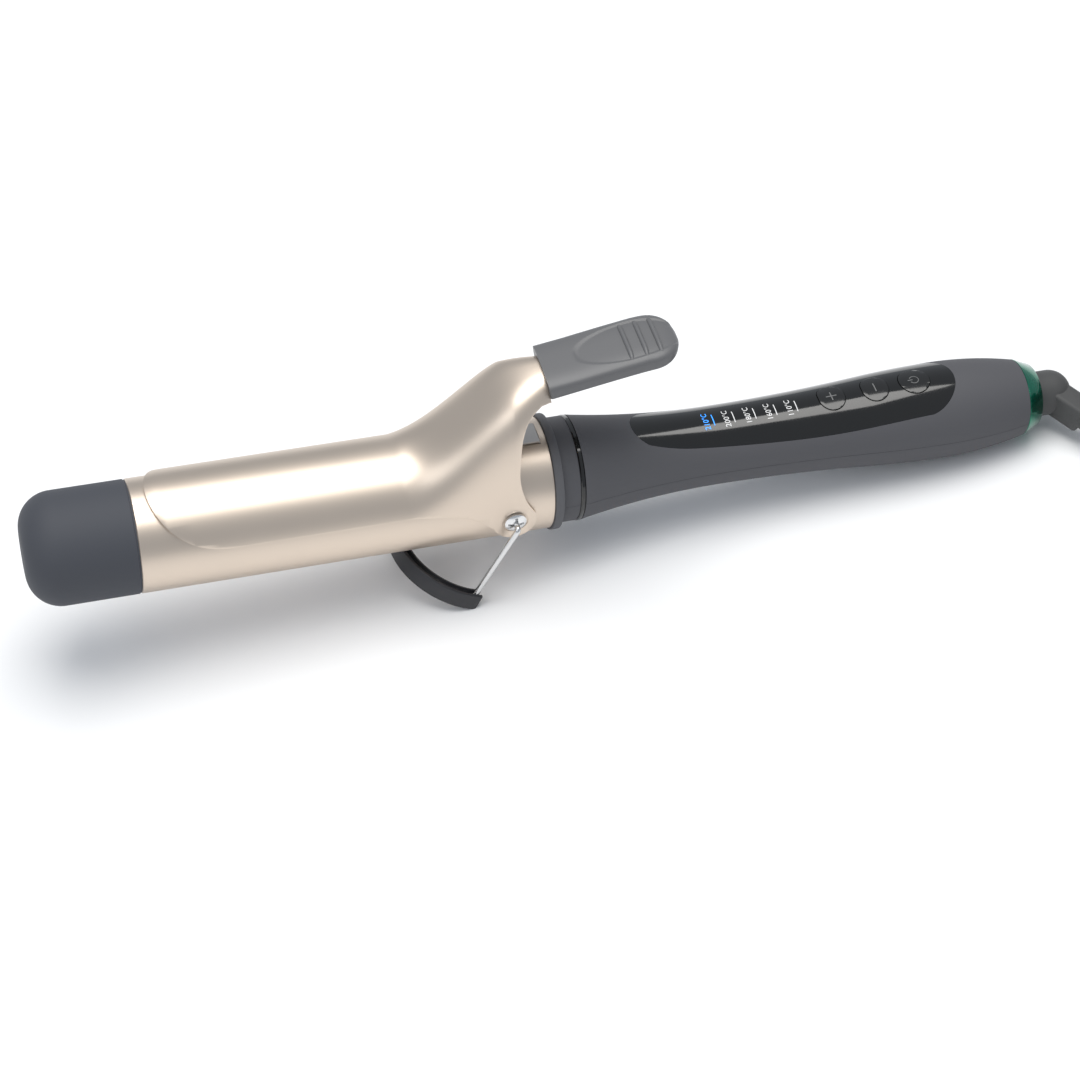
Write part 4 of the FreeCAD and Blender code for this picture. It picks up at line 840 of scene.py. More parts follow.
@dataclass(frozen=True)
class Cord:
    """The cord from the elbow to the plug; its places are in the row's frame, in millimetres."""

    radius: float = 3.0
    exit: Point = (189.570, -26.582, 7.819)
    heading: Point = (0.54812, -0.82588, -0.13223)
    first_run: float = 12.0
    centre: Point = (236.8, -10.4, 0.0)
    bend: Point = (-28.83, -35.3, 4.6)
    entry: Point = (-14.4, -39.5, 3.8)
    layer: float = 6.0
    inner: float = 21.0
    outer: float = 41.9
    turns: float = 3.5
    per_turn: int = 14
    start_bearing: float = 250.0
    crossing: float = 0.8625
    last_turn: float = 0.85
    tail: tuple[Point, ...] = (
        (-37.1, 19.7, 15.8),
        (-40.5, 5.3, 16.8),
        (-36.4, -8.8, 19.6),
        (-25.8, -19.1, 23.0),
        (-11.5, -22.9, 25.8),
        (-4.0, -22.9, 25.8),
    )
    tie_bearing: float = 60.0
    tie_width: float = 12.0
    tie_thick: float = 0.8

    def at(self, x: float, y: float, z: float) -> Vector:
        """A place given from the coil's centre."""
        return Vector(self.centre) + Vector((x, y, z))

    def ring_point(self, turn: float, radius: float, level: float) -> Vector:
        """A point of the coil by how many turns have passed."""
        angle = math.radians(self.start_bearing) + math.tau * turn
        return self.at(radius * math.cos(angle), radius * math.sin(angle), level)

    def eased(self, share: float) -> float:
        """A share from 0 to 1 with soft ends."""
        share = min(max(share, 0.0), 1.0)
        return share * share * (3 - 2 * share)

    def route(self) -> list[Vector]:
        """The coil and the tail: in, up a layer, out again, up and over to the plug."""
        low = self.entry[2]
        pitch = (self.outer - self.inner) / self.turns
        points = [self.at(*self.entry)]
        loops = round(self.turns * self.per_turn)
        for step in range(1, loops + 1):
            turn = step / self.per_turn
            points.append(self.ring_point(turn, self.outer - pitch * turn, low))
        climbs = round(self.crossing * self.per_turn)
        for step in range(1, climbs + 1):
            share = step / climbs
            level = low + self.layer * self.eased(share / 0.8)
            points.append(self.ring_point(self.turns + self.crossing * share, self.inner, level))
        begun = self.turns + self.crossing
        level = low + self.layer
        for step in range(1, loops + 1):
            turn = step / self.per_turn
            points.append(self.ring_point(begun + turn, self.inner + pitch * turn, level))
        begun += self.turns
        last = round(self.last_turn * self.per_turn)
        for step in range(1, last):
            share = step / last
            level = low + self.layer * (1 + self.eased(share / 0.5))
            points.append(self.ring_point(begun + self.last_turn * share, self.outer, level))
        points.extend(self.at(*spot) for spot in self.tail)
        return points

    def lead(self) -> bpy.types.Object:
        """The short lead from the elbow that joins the coil."""
        start = Vector(self.exit)
        corner = start + Vector(self.heading) * self.first_run
        route = rounded([start, corner, self.at(*self.bend), self.at(*self.entry)], 33.0, 6)
        made = Bench.tubing("cord_lead", route, self.radius)
        made.data.transform(Matrix.Scale(MM, 4))
        path = [place * MM for place in route]
        made.data.materials.append(CORD_BLACK.make())
        Bench.pick(made)
        bpy.ops.object.shade_smooth_by_angle(angle=math.radians(50))
        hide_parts("cord_run")
        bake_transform(made)
        length = sum((b - a).length for a, b in zip(path, path[1:]))
        sizes = {"length": length, "diameter": 2 * self.radius * MM}
        LOG.info("cord_lead: %.1f mm long", length / MM)
        return made

    def build(self, plug: "Plug") -> None:
        """Lays the lead, the coil with its tail, the tie and the plug."""
        self.lead()
        route = [place * MM for place in self.route()]
        line = bpy.data.curves.new("cord", "CURVE")
        line.dimensions = "3D"
        line.resolution_u = 5
        line.bevel_depth = self.radius * MM
        line.bevel_resolution = 4
        line.use_fill_caps = True
        spline = line.splines.new("NURBS")
        spline.points.add(len(route) - 1)
        for spot, place in zip(spline.points, route):
            spot.co = (*place, 1.0)
        spline.order_u = 3
        spline.use_endpoint_u = True
        made = bpy.data.objects.new("cord", line)
        bpy.context.scene.collection.objects.link(made)
        line.materials.append(CORD_BLACK.make())
        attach(made, Body.IRON.value)
        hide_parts("cord_coil", "cord_tail")
        carried = [self.tie(), *plug.build()]
        2 * self.radius * MM

    def tie(self) -> bpy.types.Object:
        """The strap around the coil's strands, a closed loop with a flat bottom run."""
        low = self.tie_thick / 2
        top = self.entry[2] + 2 * self.layer + self.radius + 0.4
        inner = self.inner - self.radius - 0.7
        outer = self.outer + self.radius + 0.7
        middle = (inner + outer) / 2
        corners = [(middle, low), (outer, low), (outer, top)]
        corners += [(inner, top), (inner, low), (middle, low)]
        loop = rounded([Vector((x, 0, z)) for x, z in corners], 2.4, 5)[:-1]
        half = Vector((0, self.tie_width / 2, 0))
        made = Bench.chain("cord_tie", [spot - half for spot in loop], True)
        Bench.sweep(made, (0, self.tie_width, 0))
        Bench.tidy(made)
        Bench.modify(made, "SOLIDIFY", thickness=self.tie_thick, offset=0.0)
        Bench.soften(made, 0.15, 2)
        turn = Matrix.Rotation(math.radians(self.tie_bearing), 4, "Z")
        made.data.transform(Matrix.Scale(MM, 4) @ Matrix.Translation(self.centre) @ turn)
        return settle(made, Body.IRON, TIE_BLACK, ("cord_tie",), posed=True)


@dataclass(frozen=True)
class Plug:
    """The two-pin plug on top of the coil, in the row's frame, in millimetres."""

    start: Point = (232.8, -33.3, 25.8)
    relief_length: float = 20.0
    relief_radius: float = 5.2
    length: float = 34.0
    width: float = 34.0
    thick: float = 14.0
    corner: float = 4.5
    pin_radius: float = 2.0
    pin_length: float = 19.0
    pin_spacing: float = 18.6

    def build(self) -> list[bpy.types.Object]:
        """Builds the relief, the body and the pins.

        Returns:
            The three pieces.
        """
        return [self.relief(), self.body(), self.pins()]

    def relief(self) -> bpy.types.Object:
        """The ribbed relief on the cord."""
        outline = [(0.0, 3.0)]
        ribs = 6
        pitch = self.relief_length / ribs
        for index in range(ribs):
            radius = 3.5 + (self.relief_radius - 3.5) * (index + 0.5) / ribs
            start = index * pitch
            outline += [(start, radius), (start + pitch * 0.66, radius)]
            outline += [(start + pitch * 0.72, radius - 0.6), (start + pitch * 0.96, radius - 0.6)]
        outline += [(self.relief_length, self.relief_radius), (self.relief_length, 3.0)]
        made = Bench.lathe("plug_strain_relief", outline, 48, closed=True)
        self.place(made)
        nodes = ("plug_strain_relief",)
        return settle(made, Body.IRON, CORD_BLACK, nodes, posed=True)

    def place(self, made: bpy.types.Object) -> None:
        """Moves a piece drawn from the origin along X to the plug's own place."""
        made.data.transform(Matrix.Scale(MM, 4) @ Matrix.Translation(self.start))

    def body(self) -> bpy.types.Object:
        """The flat moulded body with a finger groove on each face."""
        back = self.relief_length
        half = self.width / 2
        front = back + self.length
        corners = [(back, -half), (front, -half), (front, half), (back, half)]
        loop = [Vector((x, y, -self.thick / 2)) for x, y in corners]
        start = (loop[0] + loop[3]) / 2
        outline = rounded([start, *loop, start], self.corner, 8)[:-1]
        made = Bench.prism("plug_body", outline, Vector((0, 0, self.thick)))
        Bench.soften(made, 1.2, 4)
        for sign in (1, -1):
            spread = Vector((0, half * 0.55, 0))
            middle = Vector((back + 8, 0, sign * (self.thick / 2 + 8.6)))
            groove = Bench.drum("groove", 9.2, middle - spread, middle + spread, 96)
            Bench.carve(made, groove)
        self.place(made)
        return settle(made, Body.IRON, PLUG_BLACK, ("plug_body",), posed=True)

    def pins(self) -> bpy.types.Object:
        """Two round pins with domed ends and sleeved roots."""
        root = self.relief_length + self.length
        end = root + self.pin_length
        outline = [(root - 1.0, 0.0), (root - 1.0, self.pin_radius), (root + 8, self.pin_radius)]
        outline += [(root + 8.2, self.pin_radius - 0.12)]
        reach = self.pin_radius - 0.12
        for step in range(9):
            angle = math.radians(90 * step / 8)
            outline.append((end - reach + reach * math.sin(angle), reach * math.cos(angle)))
        first = Bench.lathe("plug_pins", outline, 40)
        second = Bench.copy(first, "pin", Matrix.Translation((0, -self.pin_spacing / 2, 0)))
        first.data.transform(Matrix.Translation((0, self.pin_spacing / 2, 0)))
        made = Bench.join("plug_pins", first, second)
        self.place(made)
        return settle(made, Body.IRON, CHROME, ("plug_pins",), posed=True)


# ---------------------------------------------------------------------------
# barrel, tip and collar
# ---------------------------------------------------------------------------


def arc(centre: Spot, radius: float, start: float, end: float, steps: int) -> list[Spot]:
    """Points of an arc between two angles in degrees."""
    angles = [math.radians(start + (end - start) * step / steps) for step in range(steps + 1)]
    return [(centre[0] + radius * math.cos(a), centre[1] + radius * math.sin(a)) for a in angles]


@dataclass(frozen=True)
class Barrel:
    """The heated barrel, its cool tip and the heat collar, all turned about one axis."""

    radius: float = 19.0
    wall: float = 1.6
    front: float = -124.0
    back: float = 14.2
    tip: float = -160.0
    tip_round: float = 11.5
    tip_wall: float = 2.2
    collar_back: float = 17.3
    collar_radius: float = 19.8
    bore: float = 12.0

    def build(self) -> None:
        """Builds the three pieces."""
        self.tube()
        self.cool_tip()
        self.collar()

    def tube(self) -> None:
        """The coated tube with a slot for the spring's hook."""
        r = self.radius
        w = self.wall
        outline = [(self.front, r - w), (self.front, r - 0.3), (self.front + 0.3, r)]
        outline += [(self.front + 10 * step, r) for step in range(1, 14)]
        outline += [(self.back - 0.2, r), (self.back, r - 0.2), (self.back, r - w)]
        made = Bench.lathe("barrel_tube", outline, 160, closed=True)
        slot = Bench.block("slot", (11.3, -4.4, 10.0), (12.1, 4.4, 25.0))
        Bench.carve(made, slot)
        settle(made, Body.IRON, CHAMPAGNE, ("barrel_tube",))

    def cool_tip(self) -> None:
        """The rounded black end, set off from the tube by a fine groove."""
        r = self.radius
        seam = self.front
        edge = self.tip + self.tip_round
        outline = [(self.tip, 0.0)]
        outline += arc((edge, r - self.tip_round), self.tip_round, 180, 90, 20)
        outline += [(edge + 8, r), (seam - 0.7, r), (seam - 0.45, r - 0.3), (seam - 0.05, r - 0.3)]
        outline += [(seam - 0.05, r - 2.0), (seam - self.tip_wall, r - 2.0)]
        inner = self.tip_round - self.tip_wall
        outline += arc((edge, r - self.tip_round), inner, 90, 180, 14)
        outline += [(self.tip + self.tip_wall, 0.0)]
        made = Bench.lathe("cool_tip", outline, 160)
        settle(made, Body.IRON, TIP_BLACK, ("cool_tip",))

    def collar(self) -> None:
        """The smooth flange that keeps the barrel's heat from the handle."""
        r = self.collar_radius
        front = self.back + 0.05
        back = self.collar_back
        outline = [(front, self.bore), (front, r - 0.5), (front + 0.15, r - 0.15), (front + 0.5, r)]
        outline += [(back - 0.5, r), (back - 0.15, r - 0.15), (back, r - 0.5), (back, self.bore)]
        made = Bench.lathe("heat_collar", outline, 160, closed=True)
        settle(made, Body.IRON, COLLAR_GREY, ("heat_collar",))


# ---------------------------------------------------------------------------
# handle and controls
# ---------------------------------------------------------------------------


@dataclass(frozen=True)
class HandleShape:
    """The handle's outline along its axis: a flare, a waist, a bulb and a tail."""

    front: float = 17.3
    band: float = 17.9
    ring_front: float = 23.5
    ring_back: float = 25.2
    ring_radius: float = 18.1
    ring_depth: float = 1.4
    flare: float = 18.0
    waist: Spot = (75.0, 13.57)
    bulb: Spot = (158.0, 16.8)
    back: Spot = (187.7, 13.5)
    share: float = 0.66
    wall: float = 2.0

    def radius(self, place: float) -> float:
        """The outside radius at a place behind the ring's groove."""
        waist, low = self.waist
        bulb, high = self.bulb
        if place < waist:
            reach = waist - self.ring_back
            bend = (reach**2 + (self.flare - low) ** 2) / (2 * (self.flare - low))
            return low + bend - math.sqrt(bend**2 - (waist - place) ** 2)
        if place > bulb:
            run = self.back[0] - bulb
            bend = (run**2 + (high - self.back[1]) ** 2) / (2 * (high - self.back[1]))
            return high - bend + math.sqrt(bend**2 - (place - bulb) ** 2)
        run = bulb - waist
        reach = (run**2 + (high - low) ** 2) / (2 * (high - low))
        if place < waist + run * self.share:
            bend = reach * self.share
            return low + bend - math.sqrt(bend**2 - (place - waist) ** 2)
        bend = reach * (1 - self.share)
        return high - bend + math.sqrt(bend**2 - (bulb - place) ** 2)

    def line(self, inset: float = 0.0, start: float = 0.0, end: float = 0.0) -> list[Spot]:
        """Points of the outline, inset by an amount, between two places."""
        first = max(start, self.ring_back)
        last = end or self.back[0]
        steps = max(int((last - first) / 2.0), 2)
        places = [first + (last - first) * step / steps for step in range(steps + 1)]
        return [(place, self.radius(place) - inset) for place in places]

    def surface(self, x: float, y: float, rise: float = 0.0) -> float:
        """The height of the handle's top at a place."""
        radius = self.radius(x) + rise
        return math.sqrt(max(radius * radius - y * y, 0.0))


@dataclass(frozen=True)
class Handle:
    """The two moulded shells, the gloss panel with its scale, and the three buttons."""

    shape: HandleShape = HandleShape()
    panel_front: float = 44.9
    panel_back: float = 161.4
    nose: float = 7.9
    tail: float = 12.4
    side: Spot = (92.0, 10.9)
    panel_depth: float = 1.0
    ticks: tuple[float, ...] = (73.9, 81.2, 88.7, 96.2, 103.7)
    labels: tuple[str, ...] = ("210°C", "200°C", "180°C", "160°C", "110°C")
    plus: float = 116.75
    minus: float = 132.4
    power: float = 146.8
    oval: Spot = (4.6, 0.9)
    round: float = 5.5
    gap: float = 0.22
    proud: float = 0.25
    slug_floor: float = 9.4
    well: float = 2.9

    def build(self) -> None:
        """Builds the shells, the panel, its print and the buttons."""
        self.shells()
        self.panel()
        self.scale_print()
        self.button("button_plus", self.plus, Body.PLUS)
        self.button("button_minus", self.minus, Body.MINUS)
        self.button("button_power", self.power, Body.POWER)

    def outline(self, grow: float) -> list[Vector]:
        """The teardrop outline of the panel, grown by an amount."""
        nose_centre = (self.panel_front + self.nose, 0.0)
        tail_centre = (self.panel_back - self.tail, 0.0)
        knots = arc(nose_centre, self.nose + grow, 180, 105, 4)
        knots += [(60.0, 9.1 + grow), (74.0, 9.95 + grow), (self.side[0], self.side[1] + grow)]
        knots += [(112.0, 11.85 + grow), (132.0, 12.4 + grow)]
        knots += arc(tail_centre, self.tail + grow, 95, 0, 6)
        top = smooth_line(knots, 6)
        bottom = [(x, -y) for x, y in reversed(top[1:-1])]
        return [Vector((x, y, 0.0)) for x, y in top + bottom]

    def slug(
        self, name: str, place: float, grow: float, low: float, high: float
    ) -> bpy.types.Object:
        """An upright plug with a button's outline: oval for the pair, round for power."""
        if place == self.power:
            middle = (place, 0.0)
            loop = [Vector((x, y, low)) for x, y in arc(middle, self.round + grow, 0, 360, 64)[:-1]]
        else:
            radius, straight = self.oval
            spots = arc((place, straight), radius + grow, 0, 180, 32)
            spots += arc((place, -straight), radius + grow, 180, 360, 32)
            loop = [Vector((x, y, low)) for x, y in spots]
        return Bench.prism(name, loop, Vector((0, 0, high - low)))

    def holes(self) -> list[bpy.types.Object]:
        """A cutter for each button's hole."""
        places = (self.plus, self.minus, self.power)
        return [self.slug("hole", place, self.gap, 2.0, 30.0) for place in places]

    def shells(self) -> None:
        """The upper shell with the panel's recess, and the lower one with its screw wells."""
        s = self.shape
        bore = s.band - s.wall
        outline = [(s.front + 0.02, bore), (s.ring_back, bore)]
        outline += s.line(s.wall, s.ring_back + 2)
        outline += s.line()[::-1]
        depth = s.ring_radius - s.ring_depth
        outline += [(s.ring_back, depth), (s.ring_front, depth), (s.ring_front, s.band - 0.25)]
        outline += [(s.ring_front - 0.25, s.band), (s.front + 0.3, s.band)]
        outline += [(s.front + 0.02, s.band - 0.3)]
        upper = Bench.lathe("handle_upper_shell", outline, 88, 90, 180, closed=True)
        lower = Bench.copy(upper, "handle_lower_shell", Matrix.Rotation(math.pi, 4, "X"))
        for shell, sign in ((upper, 1), (lower, -1)):
            seam = Bench.block("seam", (10, -25, -0.06), (195, 25, 0.06))
            Bench.carve(shell, seam)
        recess = self.skin("recess", 0.05, self.panel_depth + 0.05, 3.0)
        Bench.carve(upper, recess, *self.holes())
        for place in (self.panel_front + 4, self.panel_back + 7):
            ends = (Vector((place, 0, -6.0)), Vector((place, 0, -25.0)))
            Bench.carve(lower, Bench.drum("well", self.well, *ends, 48))
        settle(upper, Body.IRON, HANDLE_BLACK, ("handle_upper_shell",))
        settle(lower, Body.IRON, HANDLE_BLACK, ("handle_lower_shell",))

    def skin(self, name: str, grow: float, depth: float, rise: float) -> bpy.types.Object:
        """A layer of the handle's surface inside the panel's outline.

        Args:
            name: Its name.
            grow: How far it spreads past the panel's own outline.
            depth: How deep it goes under the handle's surface.
            rise: How far it rises above the surface.

        Returns:
            The layer as a solid.
        """
        ends = (self.panel_front - 2, self.panel_back + 2)
        outline = self.shape.line(-rise, *ends) + self.shape.line(depth, *ends)[::-1]
        layer = Bench.lathe(name, outline, 88, 90, 180, closed=True)
        prism = Bench.prism("teardrop", self.outline(grow), Vector((0, 0, 30)))
        return Bench.carve(layer, prism, how="INTERSECT")

    def panel(self) -> None:
        """The gloss panel, let into the upper shell, with a hole for each button."""
        made = self.skin("control_lens", 0.0, self.panel_depth, 0.0)
        Bench.carve(made, *self.holes())
        settle(made, Body.IRON, LENS_BLACK, ("control_lens",))

    def on_surface(self, made: bpy.types.Object, rise: float) -> None:
        """Drapes flat marks over the handle, a little above it."""
        for vertex in made.data.vertices:
            x, y, z = vertex.co
            vertex.co = (x, y, self.shape.surface(x, y, rise) + z)

    def letters(self, words: str, place: float, size: float, middle: float) -> bpy.types.Object:
        """Flat lettering that reads across the handle, its tops towards the tip."""
        text = bpy.data.curves.new("words", "FONT")
        text.body = words
        text.size = size
        text.align_x = "CENTER"
        text.align_y = "CENTER"
        text.resolution_u = 4
        made = bpy.data.objects.new("words", text)
        bpy.context.scene.collection.objects.link(made)
        Bench.pick(made)
        bpy.ops.object.convert(target="MESH")
        made = bpy.context.object
        turn = Matrix.Rotation(math.radians(90), 4, "Z")
        made.data.transform(Matrix.Translation((place, middle, 0)) @ turn)
        return Bench.divide(made, 1)

    def stroke(self, low: Spot, high: Spot) -> bpy.types.Object:
        """A thin flat bar between two corners, cut fine enough to drape."""
        return Bench.divide(Bench.block("stroke", (*low, -0.02), (*high, 0.02)), 7)

    def scale_print(self) -> None:
        """The heat scale: five ticks and numerals, the hottest one lit."""
        white = []
        lit = []
        for place, words in zip(self.ticks, self.labels):
            group = lit if place == self.ticks[0] else white
            group.append(self.stroke((place - 0.15, -3.4), (place + 0.15, 1.3)))
            group.append(self.letters(words, place - 2.5, 2.75, -1.2))
        prints = (("scale_white", white, PRINT_WHITE_PAINTED_GLOW), ("scale_lit", lit, PRINT_BLUE))
        for name, group, finish in prints:
            made = Bench.join(name, *group)
            self.on_surface(made, 0.03)
            settle(made, Body.IRON, finish)

    def button(self, name: str, place: float, body: Body) -> None:
        """One button with its mark: its top follows the handle, a little proud of it."""
        made = self.slug(name, place, 0.0, 8.0, 30.0)
        near = place - 9
        outer = self.shape.line(-self.proud, near, place + 9)
        inner = [(x, self.slug_floor) for x, _ in (outer[-1], outer[0])]
        layer = Bench.lathe("layer", outer + inner, 88, 90, 180, closed=True)
        Bench.carve(made, layer, how="INTERSECT")
        Bench.soften(made, 0.3, 3, 50)
        settle(made, body, KEY_BLACK, (name,))
        marks = []
        if body is Body.POWER:
            marks.append(self.ribbon(arc((place, 0.0), 1.7, -150, 150, 20), 0.16))
            marks.append(self.stroke((place - 2.3, -0.16), (place - 0.5, 0.16)))
        else:
            marks.append(self.stroke((place - 0.2, -1.9), (place + 0.2, 1.9)))
        if body is Body.PLUS:
            marks.append(self.stroke((place - 1.9, -0.2), (place + 1.9, 0.2)))
        mark = Bench.join(name + "_mark", *marks)
        self.on_surface(mark, self.proud + 0.015)
        settle(mark, body, PRINT_DIM)

    def ribbon(self, line: Sequence[Spot], half: float) -> bpy.types.Object:
        """A thin flat ribbon along a line, for curved marks."""
        centre = Vector((sum(x for x, _ in line) / len(line), 0, 0))
        made = Bench.chain("ribbon", [Vector((x, y, 0)) for x, y in line])
        Bench.edit(made)
        bpy.ops.mesh.extrude_region_move()
        settings = {"center_override": centre, "orient_type": "GLOBAL"}
        bpy.ops.transform.resize(value=(1 - half, 1 - half, 1), **settings)
        bpy.ops.object.mode_set(mode="OBJECT")
        return Bench.tidy(made)


@dataclass(frozen=True)
class Rings:
    """The gloss trim ring at the handle's front and the green metal ring at its back."""

    shape: HandleShape = HandleShape()
    back: float = 193.7
    back_radius: float = 11.1
    bore: float = 5.7

    def build(self) -> None:
        """Builds both rings."""
        s = self.shape
        low = s.ring_radius - s.ring_depth + 0.05
        top = s.ring_radius
        front = s.ring_front + 0.06
        rear = s.ring_back - 0.06
        outline = [(front, low), (front, top - 0.3), (front + 0.3, top), (rear - 0.3, top)]
        outline += [(rear, top - 0.3), (rear, low)]
        trim = Bench.lathe("trim_ring", outline, 160, closed=True)
        settle(trim, Body.IRON, LENS_BLACK, ("trim_ring",))
        x, r = s.back
        outline = [(x + 0.05, self.bore), (x + 0.05, r - 0.25), (x + 0.3, r - 0.02)]
        outline += [(self.back - 0.35, self.back_radius + 0.1), (self.back, self.back_radius - 0.3)]
        outline += [(self.back, self.bore)]
        ring = Bench.lathe("end_ring", outline, 160, closed=True)
        settle(ring, Body.IRON, EMERALD, ("end_ring",))


@dataclass(frozen=True)
class Elbow:
    """The rubber elbow: a round hub, a boxy arm bent off the axis and a ribbed relief."""

    start: float = 194.0
    hub_radius: float = 7.9
    hub_length: float = 9.5
    bend: float = 56.0
    droop: float = 5.0
    arm: float = 16.0
    width: float = 8.8
    height: float = 10.6
    relief: float = 20.0
    relief_start: float = 4.4
    relief_end: float = 3.4
    ribs: int = 5

    def build(self) -> None:
        """Builds the elbow as one rubber piece."""
        end = self.start + self.hub_length
        r = self.hub_radius
        outline = [(self.start, 0.0), (self.start, r - 0.5), (self.start + 0.5, r), (end - 3.0, r)]
        hub = Bench.lathe("cord_elbow", outline + arc((end - 3.0, 0.0), r, 90, 0, 12), 72)
        bend = math.radians(self.bend)
        droop = math.radians(self.droop)
        heading = Vector((math.cos(bend), -math.sin(bend), -math.sin(droop))).normalized()
        side = Vector((0, 0, 1)).cross(heading).normalized()
        frame_turn = Matrix((heading, side, heading.cross(side))).transposed().to_4x4()
        corner = Vector((end - r * 0.4, 0, 0))
        place = Matrix.Translation(corner) @ frame_turn
        half = (self.width / 2, self.height / 2)
        arm = Bench.block("arm", (-1.0, -half[0], -half[1]), (self.arm, half[0], half[1]))
        Bench.soften(arm, 1.3, 4)
        arm.data.transform(place)
        pitch = self.relief / self.ribs
        outline = [(self.arm - 1.5, 0.0), (self.arm - 1.5, self.relief_start)]
        for index in range(self.ribs):
            radius = self.relief_start + (self.relief_end - self.relief_start) * index / self.ribs
            begin = self.arm + index * pitch
            outline += [(begin, radius), (begin + pitch * 0.6, radius)]
            outline += [(begin + pitch * share, radius - 0.5) for share in (0.7, 0.95)]
        outline += [(self.arm + self.relief, self.relief_end), (self.arm + self.relief, 0.0)]
        cone = Bench.lathe("cone", outline, 48)
        cone.data.transform(place)
        Bench.carve(hub, arm, cone, how="UNION")
        settle(hub, Body.SWIVEL, ELBOW_GREY, ("cord_elbow",), 35)


# ---------------------------------------------------------------------------
# clamp
# ---------------------------------------------------------------------------


@dataclass(frozen=True)
class Clamp:
    """The clamp: a curved plate with a rising neck, the thumb cap and the leaf spring."""

    radius: float = 20.4
    thick: float = 1.0
    nose: float = 119.3
    nose_radius: float = 24.3
    side_level: float = 7.4
    ear: float = 7.4
    neck_start: float = 36.0
    crown: float = 46.0
    # where the neck's crown turns over: share, height and slope at its start, then at its end
    turn_over: tuple[float, ...] = (0.85, 0.8417, 1.186, 1.345, 1.145, 0.235)
    back: float = 12.4
    narrowing: float = 6.9
    seam: float = 43.4
    lean: float = 9.5
    hole: float = 2.6
    dish: float = 4.45
    dish_depth: float = 0.3
    cap_half: float = 11.1
    cap_back: float = 57.2
    cap_round: float = 10.5
    cap_low: Outline = (
        (12.0, 42.9),
        (28.0, 46.2),
        (38.0, 48.2),
        (46.0, 49.6),
        (52.0, 50.4),
        (58.0, 51.2),
    )
    cap_high: Outline = (
        (12.0, 50.3),
        (22.0, 52.1),
        (33.0, 54.6),
        (44.0, 56.7),
        (50.0, 57.2),
        (58.0, 57.6),
    )
    # the pad's place, half length, half width and depth
    pad: tuple[float, float, float, float] = (41.0, 18.0, 8.4, 0.5)
    ribs: tuple[float, ...] = (39.6, 44.6, 49.5)
    rib_half: float = 8.0
    rib_radius: float = 0.85
    strip_half: float = 4.3
    strip_thick: float = 0.6
    spring_low: float = 19.32
    fold_place: float = -11.0
    fold_bend: float = 1.9
    spring_end: Spot = (1.2, 40.9)
    spring_squash: float = 0.55

    def build(self) -> None:
        """Builds the plate, the cap and the spring."""
        self.plate()
        self.cap()
        self.spring()

    def rise(self, place: float, drop: float) -> float:
        """The crown's height at a place, lowered for the inner surface."""
        share = (place + self.neck_start) / self.neck_start
        if share <= 0:
            return self.radius - drop
        eased = share * share * (2.1 - 1.1 * share)
        if share > self.turn_over[0]:
            eased = hermite(share, *self.turn_over)
        top = self.radius + (self.crown - self.radius) * eased
        return top - drop * (1 + 0.45 * min(share * 2, 1))

    def arch(self, place: float, drop: float, steps: int = 72) -> list[Vector]:
        """One closed cross-section: an arch on two straight sides."""
        share = min(max((place + self.neck_start) / self.neck_start, 0.0), 1.35)
        power = 2 + 1.2 * min(share, 1.0)
        narrow = self.narrowing * max(share - 1.0, 0) / 0.33
        half = self.radius - drop
        top = self.rise(place, drop)
        loop = []
        for step in range(steps + 1):
            angle = math.pi * step / steps
            sine = abs(math.sin(angle)) ** (2 / power)
            cosine = math.copysign(abs(math.cos(angle)) ** (2 / power), math.cos(angle))
            loop.append(Vector((place, (half - narrow * math.sin(angle)) * cosine, top * sine)))
        floor = -self.ear - 4
        feet = [Vector((place, loop[-1].y, floor * part)) for part in (0.5, 1.0)]
        feet += [Vector((place, loop[0].y, floor * part)) for part in (1.0, 0.5)]
        return loop + feet

    def envelope(self, name: str, drop: float, past: float) -> bpy.types.Object:
        """A solid through the cross-sections, from the nose to the cap."""
        places = [-self.nose - past + 8 * step for step in range(10)]
        places += [-self.neck_start - 4, -self.neck_start - 1]
        fine = int((self.neck_start + self.back) / 1.25) + 1
        places += [-self.neck_start + 1.25 * step for step in range(fine)]
        places.append(self.back + past)
        return loft(name, [self.arch(place, drop) for place in places])

    def side(self) -> list[Vector]:
        """The plate's outline seen from the side."""
        radius = self.radius
        swing = math.asin(min(radius * math.acos(self.side_level / radius) / self.nose_radius, 1.0))
        front = []
        for step in range(1, 33):
            angle = swing * step / 32
            x = self.nose_radius - self.nose - self.nose_radius * math.cos(angle)
            around = self.nose_radius * math.sin(angle) / radius
            front.append((x, radius * math.cos(around)))
        ear = self.ear
        knots = [(-48.0, self.side_level), (-30.0, self.side_level), (-16.0, 4.6)]
        sweep = smooth_line([*knots, (-ear * 0.94, -ear * 0.34)], 8)
        round_part = arc((0.0, 0.0), ear, 200, 380, 28)[1:-1]
        rear = [(ear * 0.94, ear * 0.34), (3.4, 9.0), (1.0, 18.0), (0.8, 27.0), (1.8, 35.0)]
        rear = smooth_line([*rear, (4.6, 40.4), (9.0, 43.2)], 8)
        slope = math.tan(math.radians(self.lean))
        top = self.crown + 12
        lean_back = self.back - (top - self.seam) * slope
        ends = [(self.back, self.seam), (lean_back, top), (front[0][0], top)]
        return [Vector((x, 0, z)) for x, z in front + sweep + round_part + rear + ends]

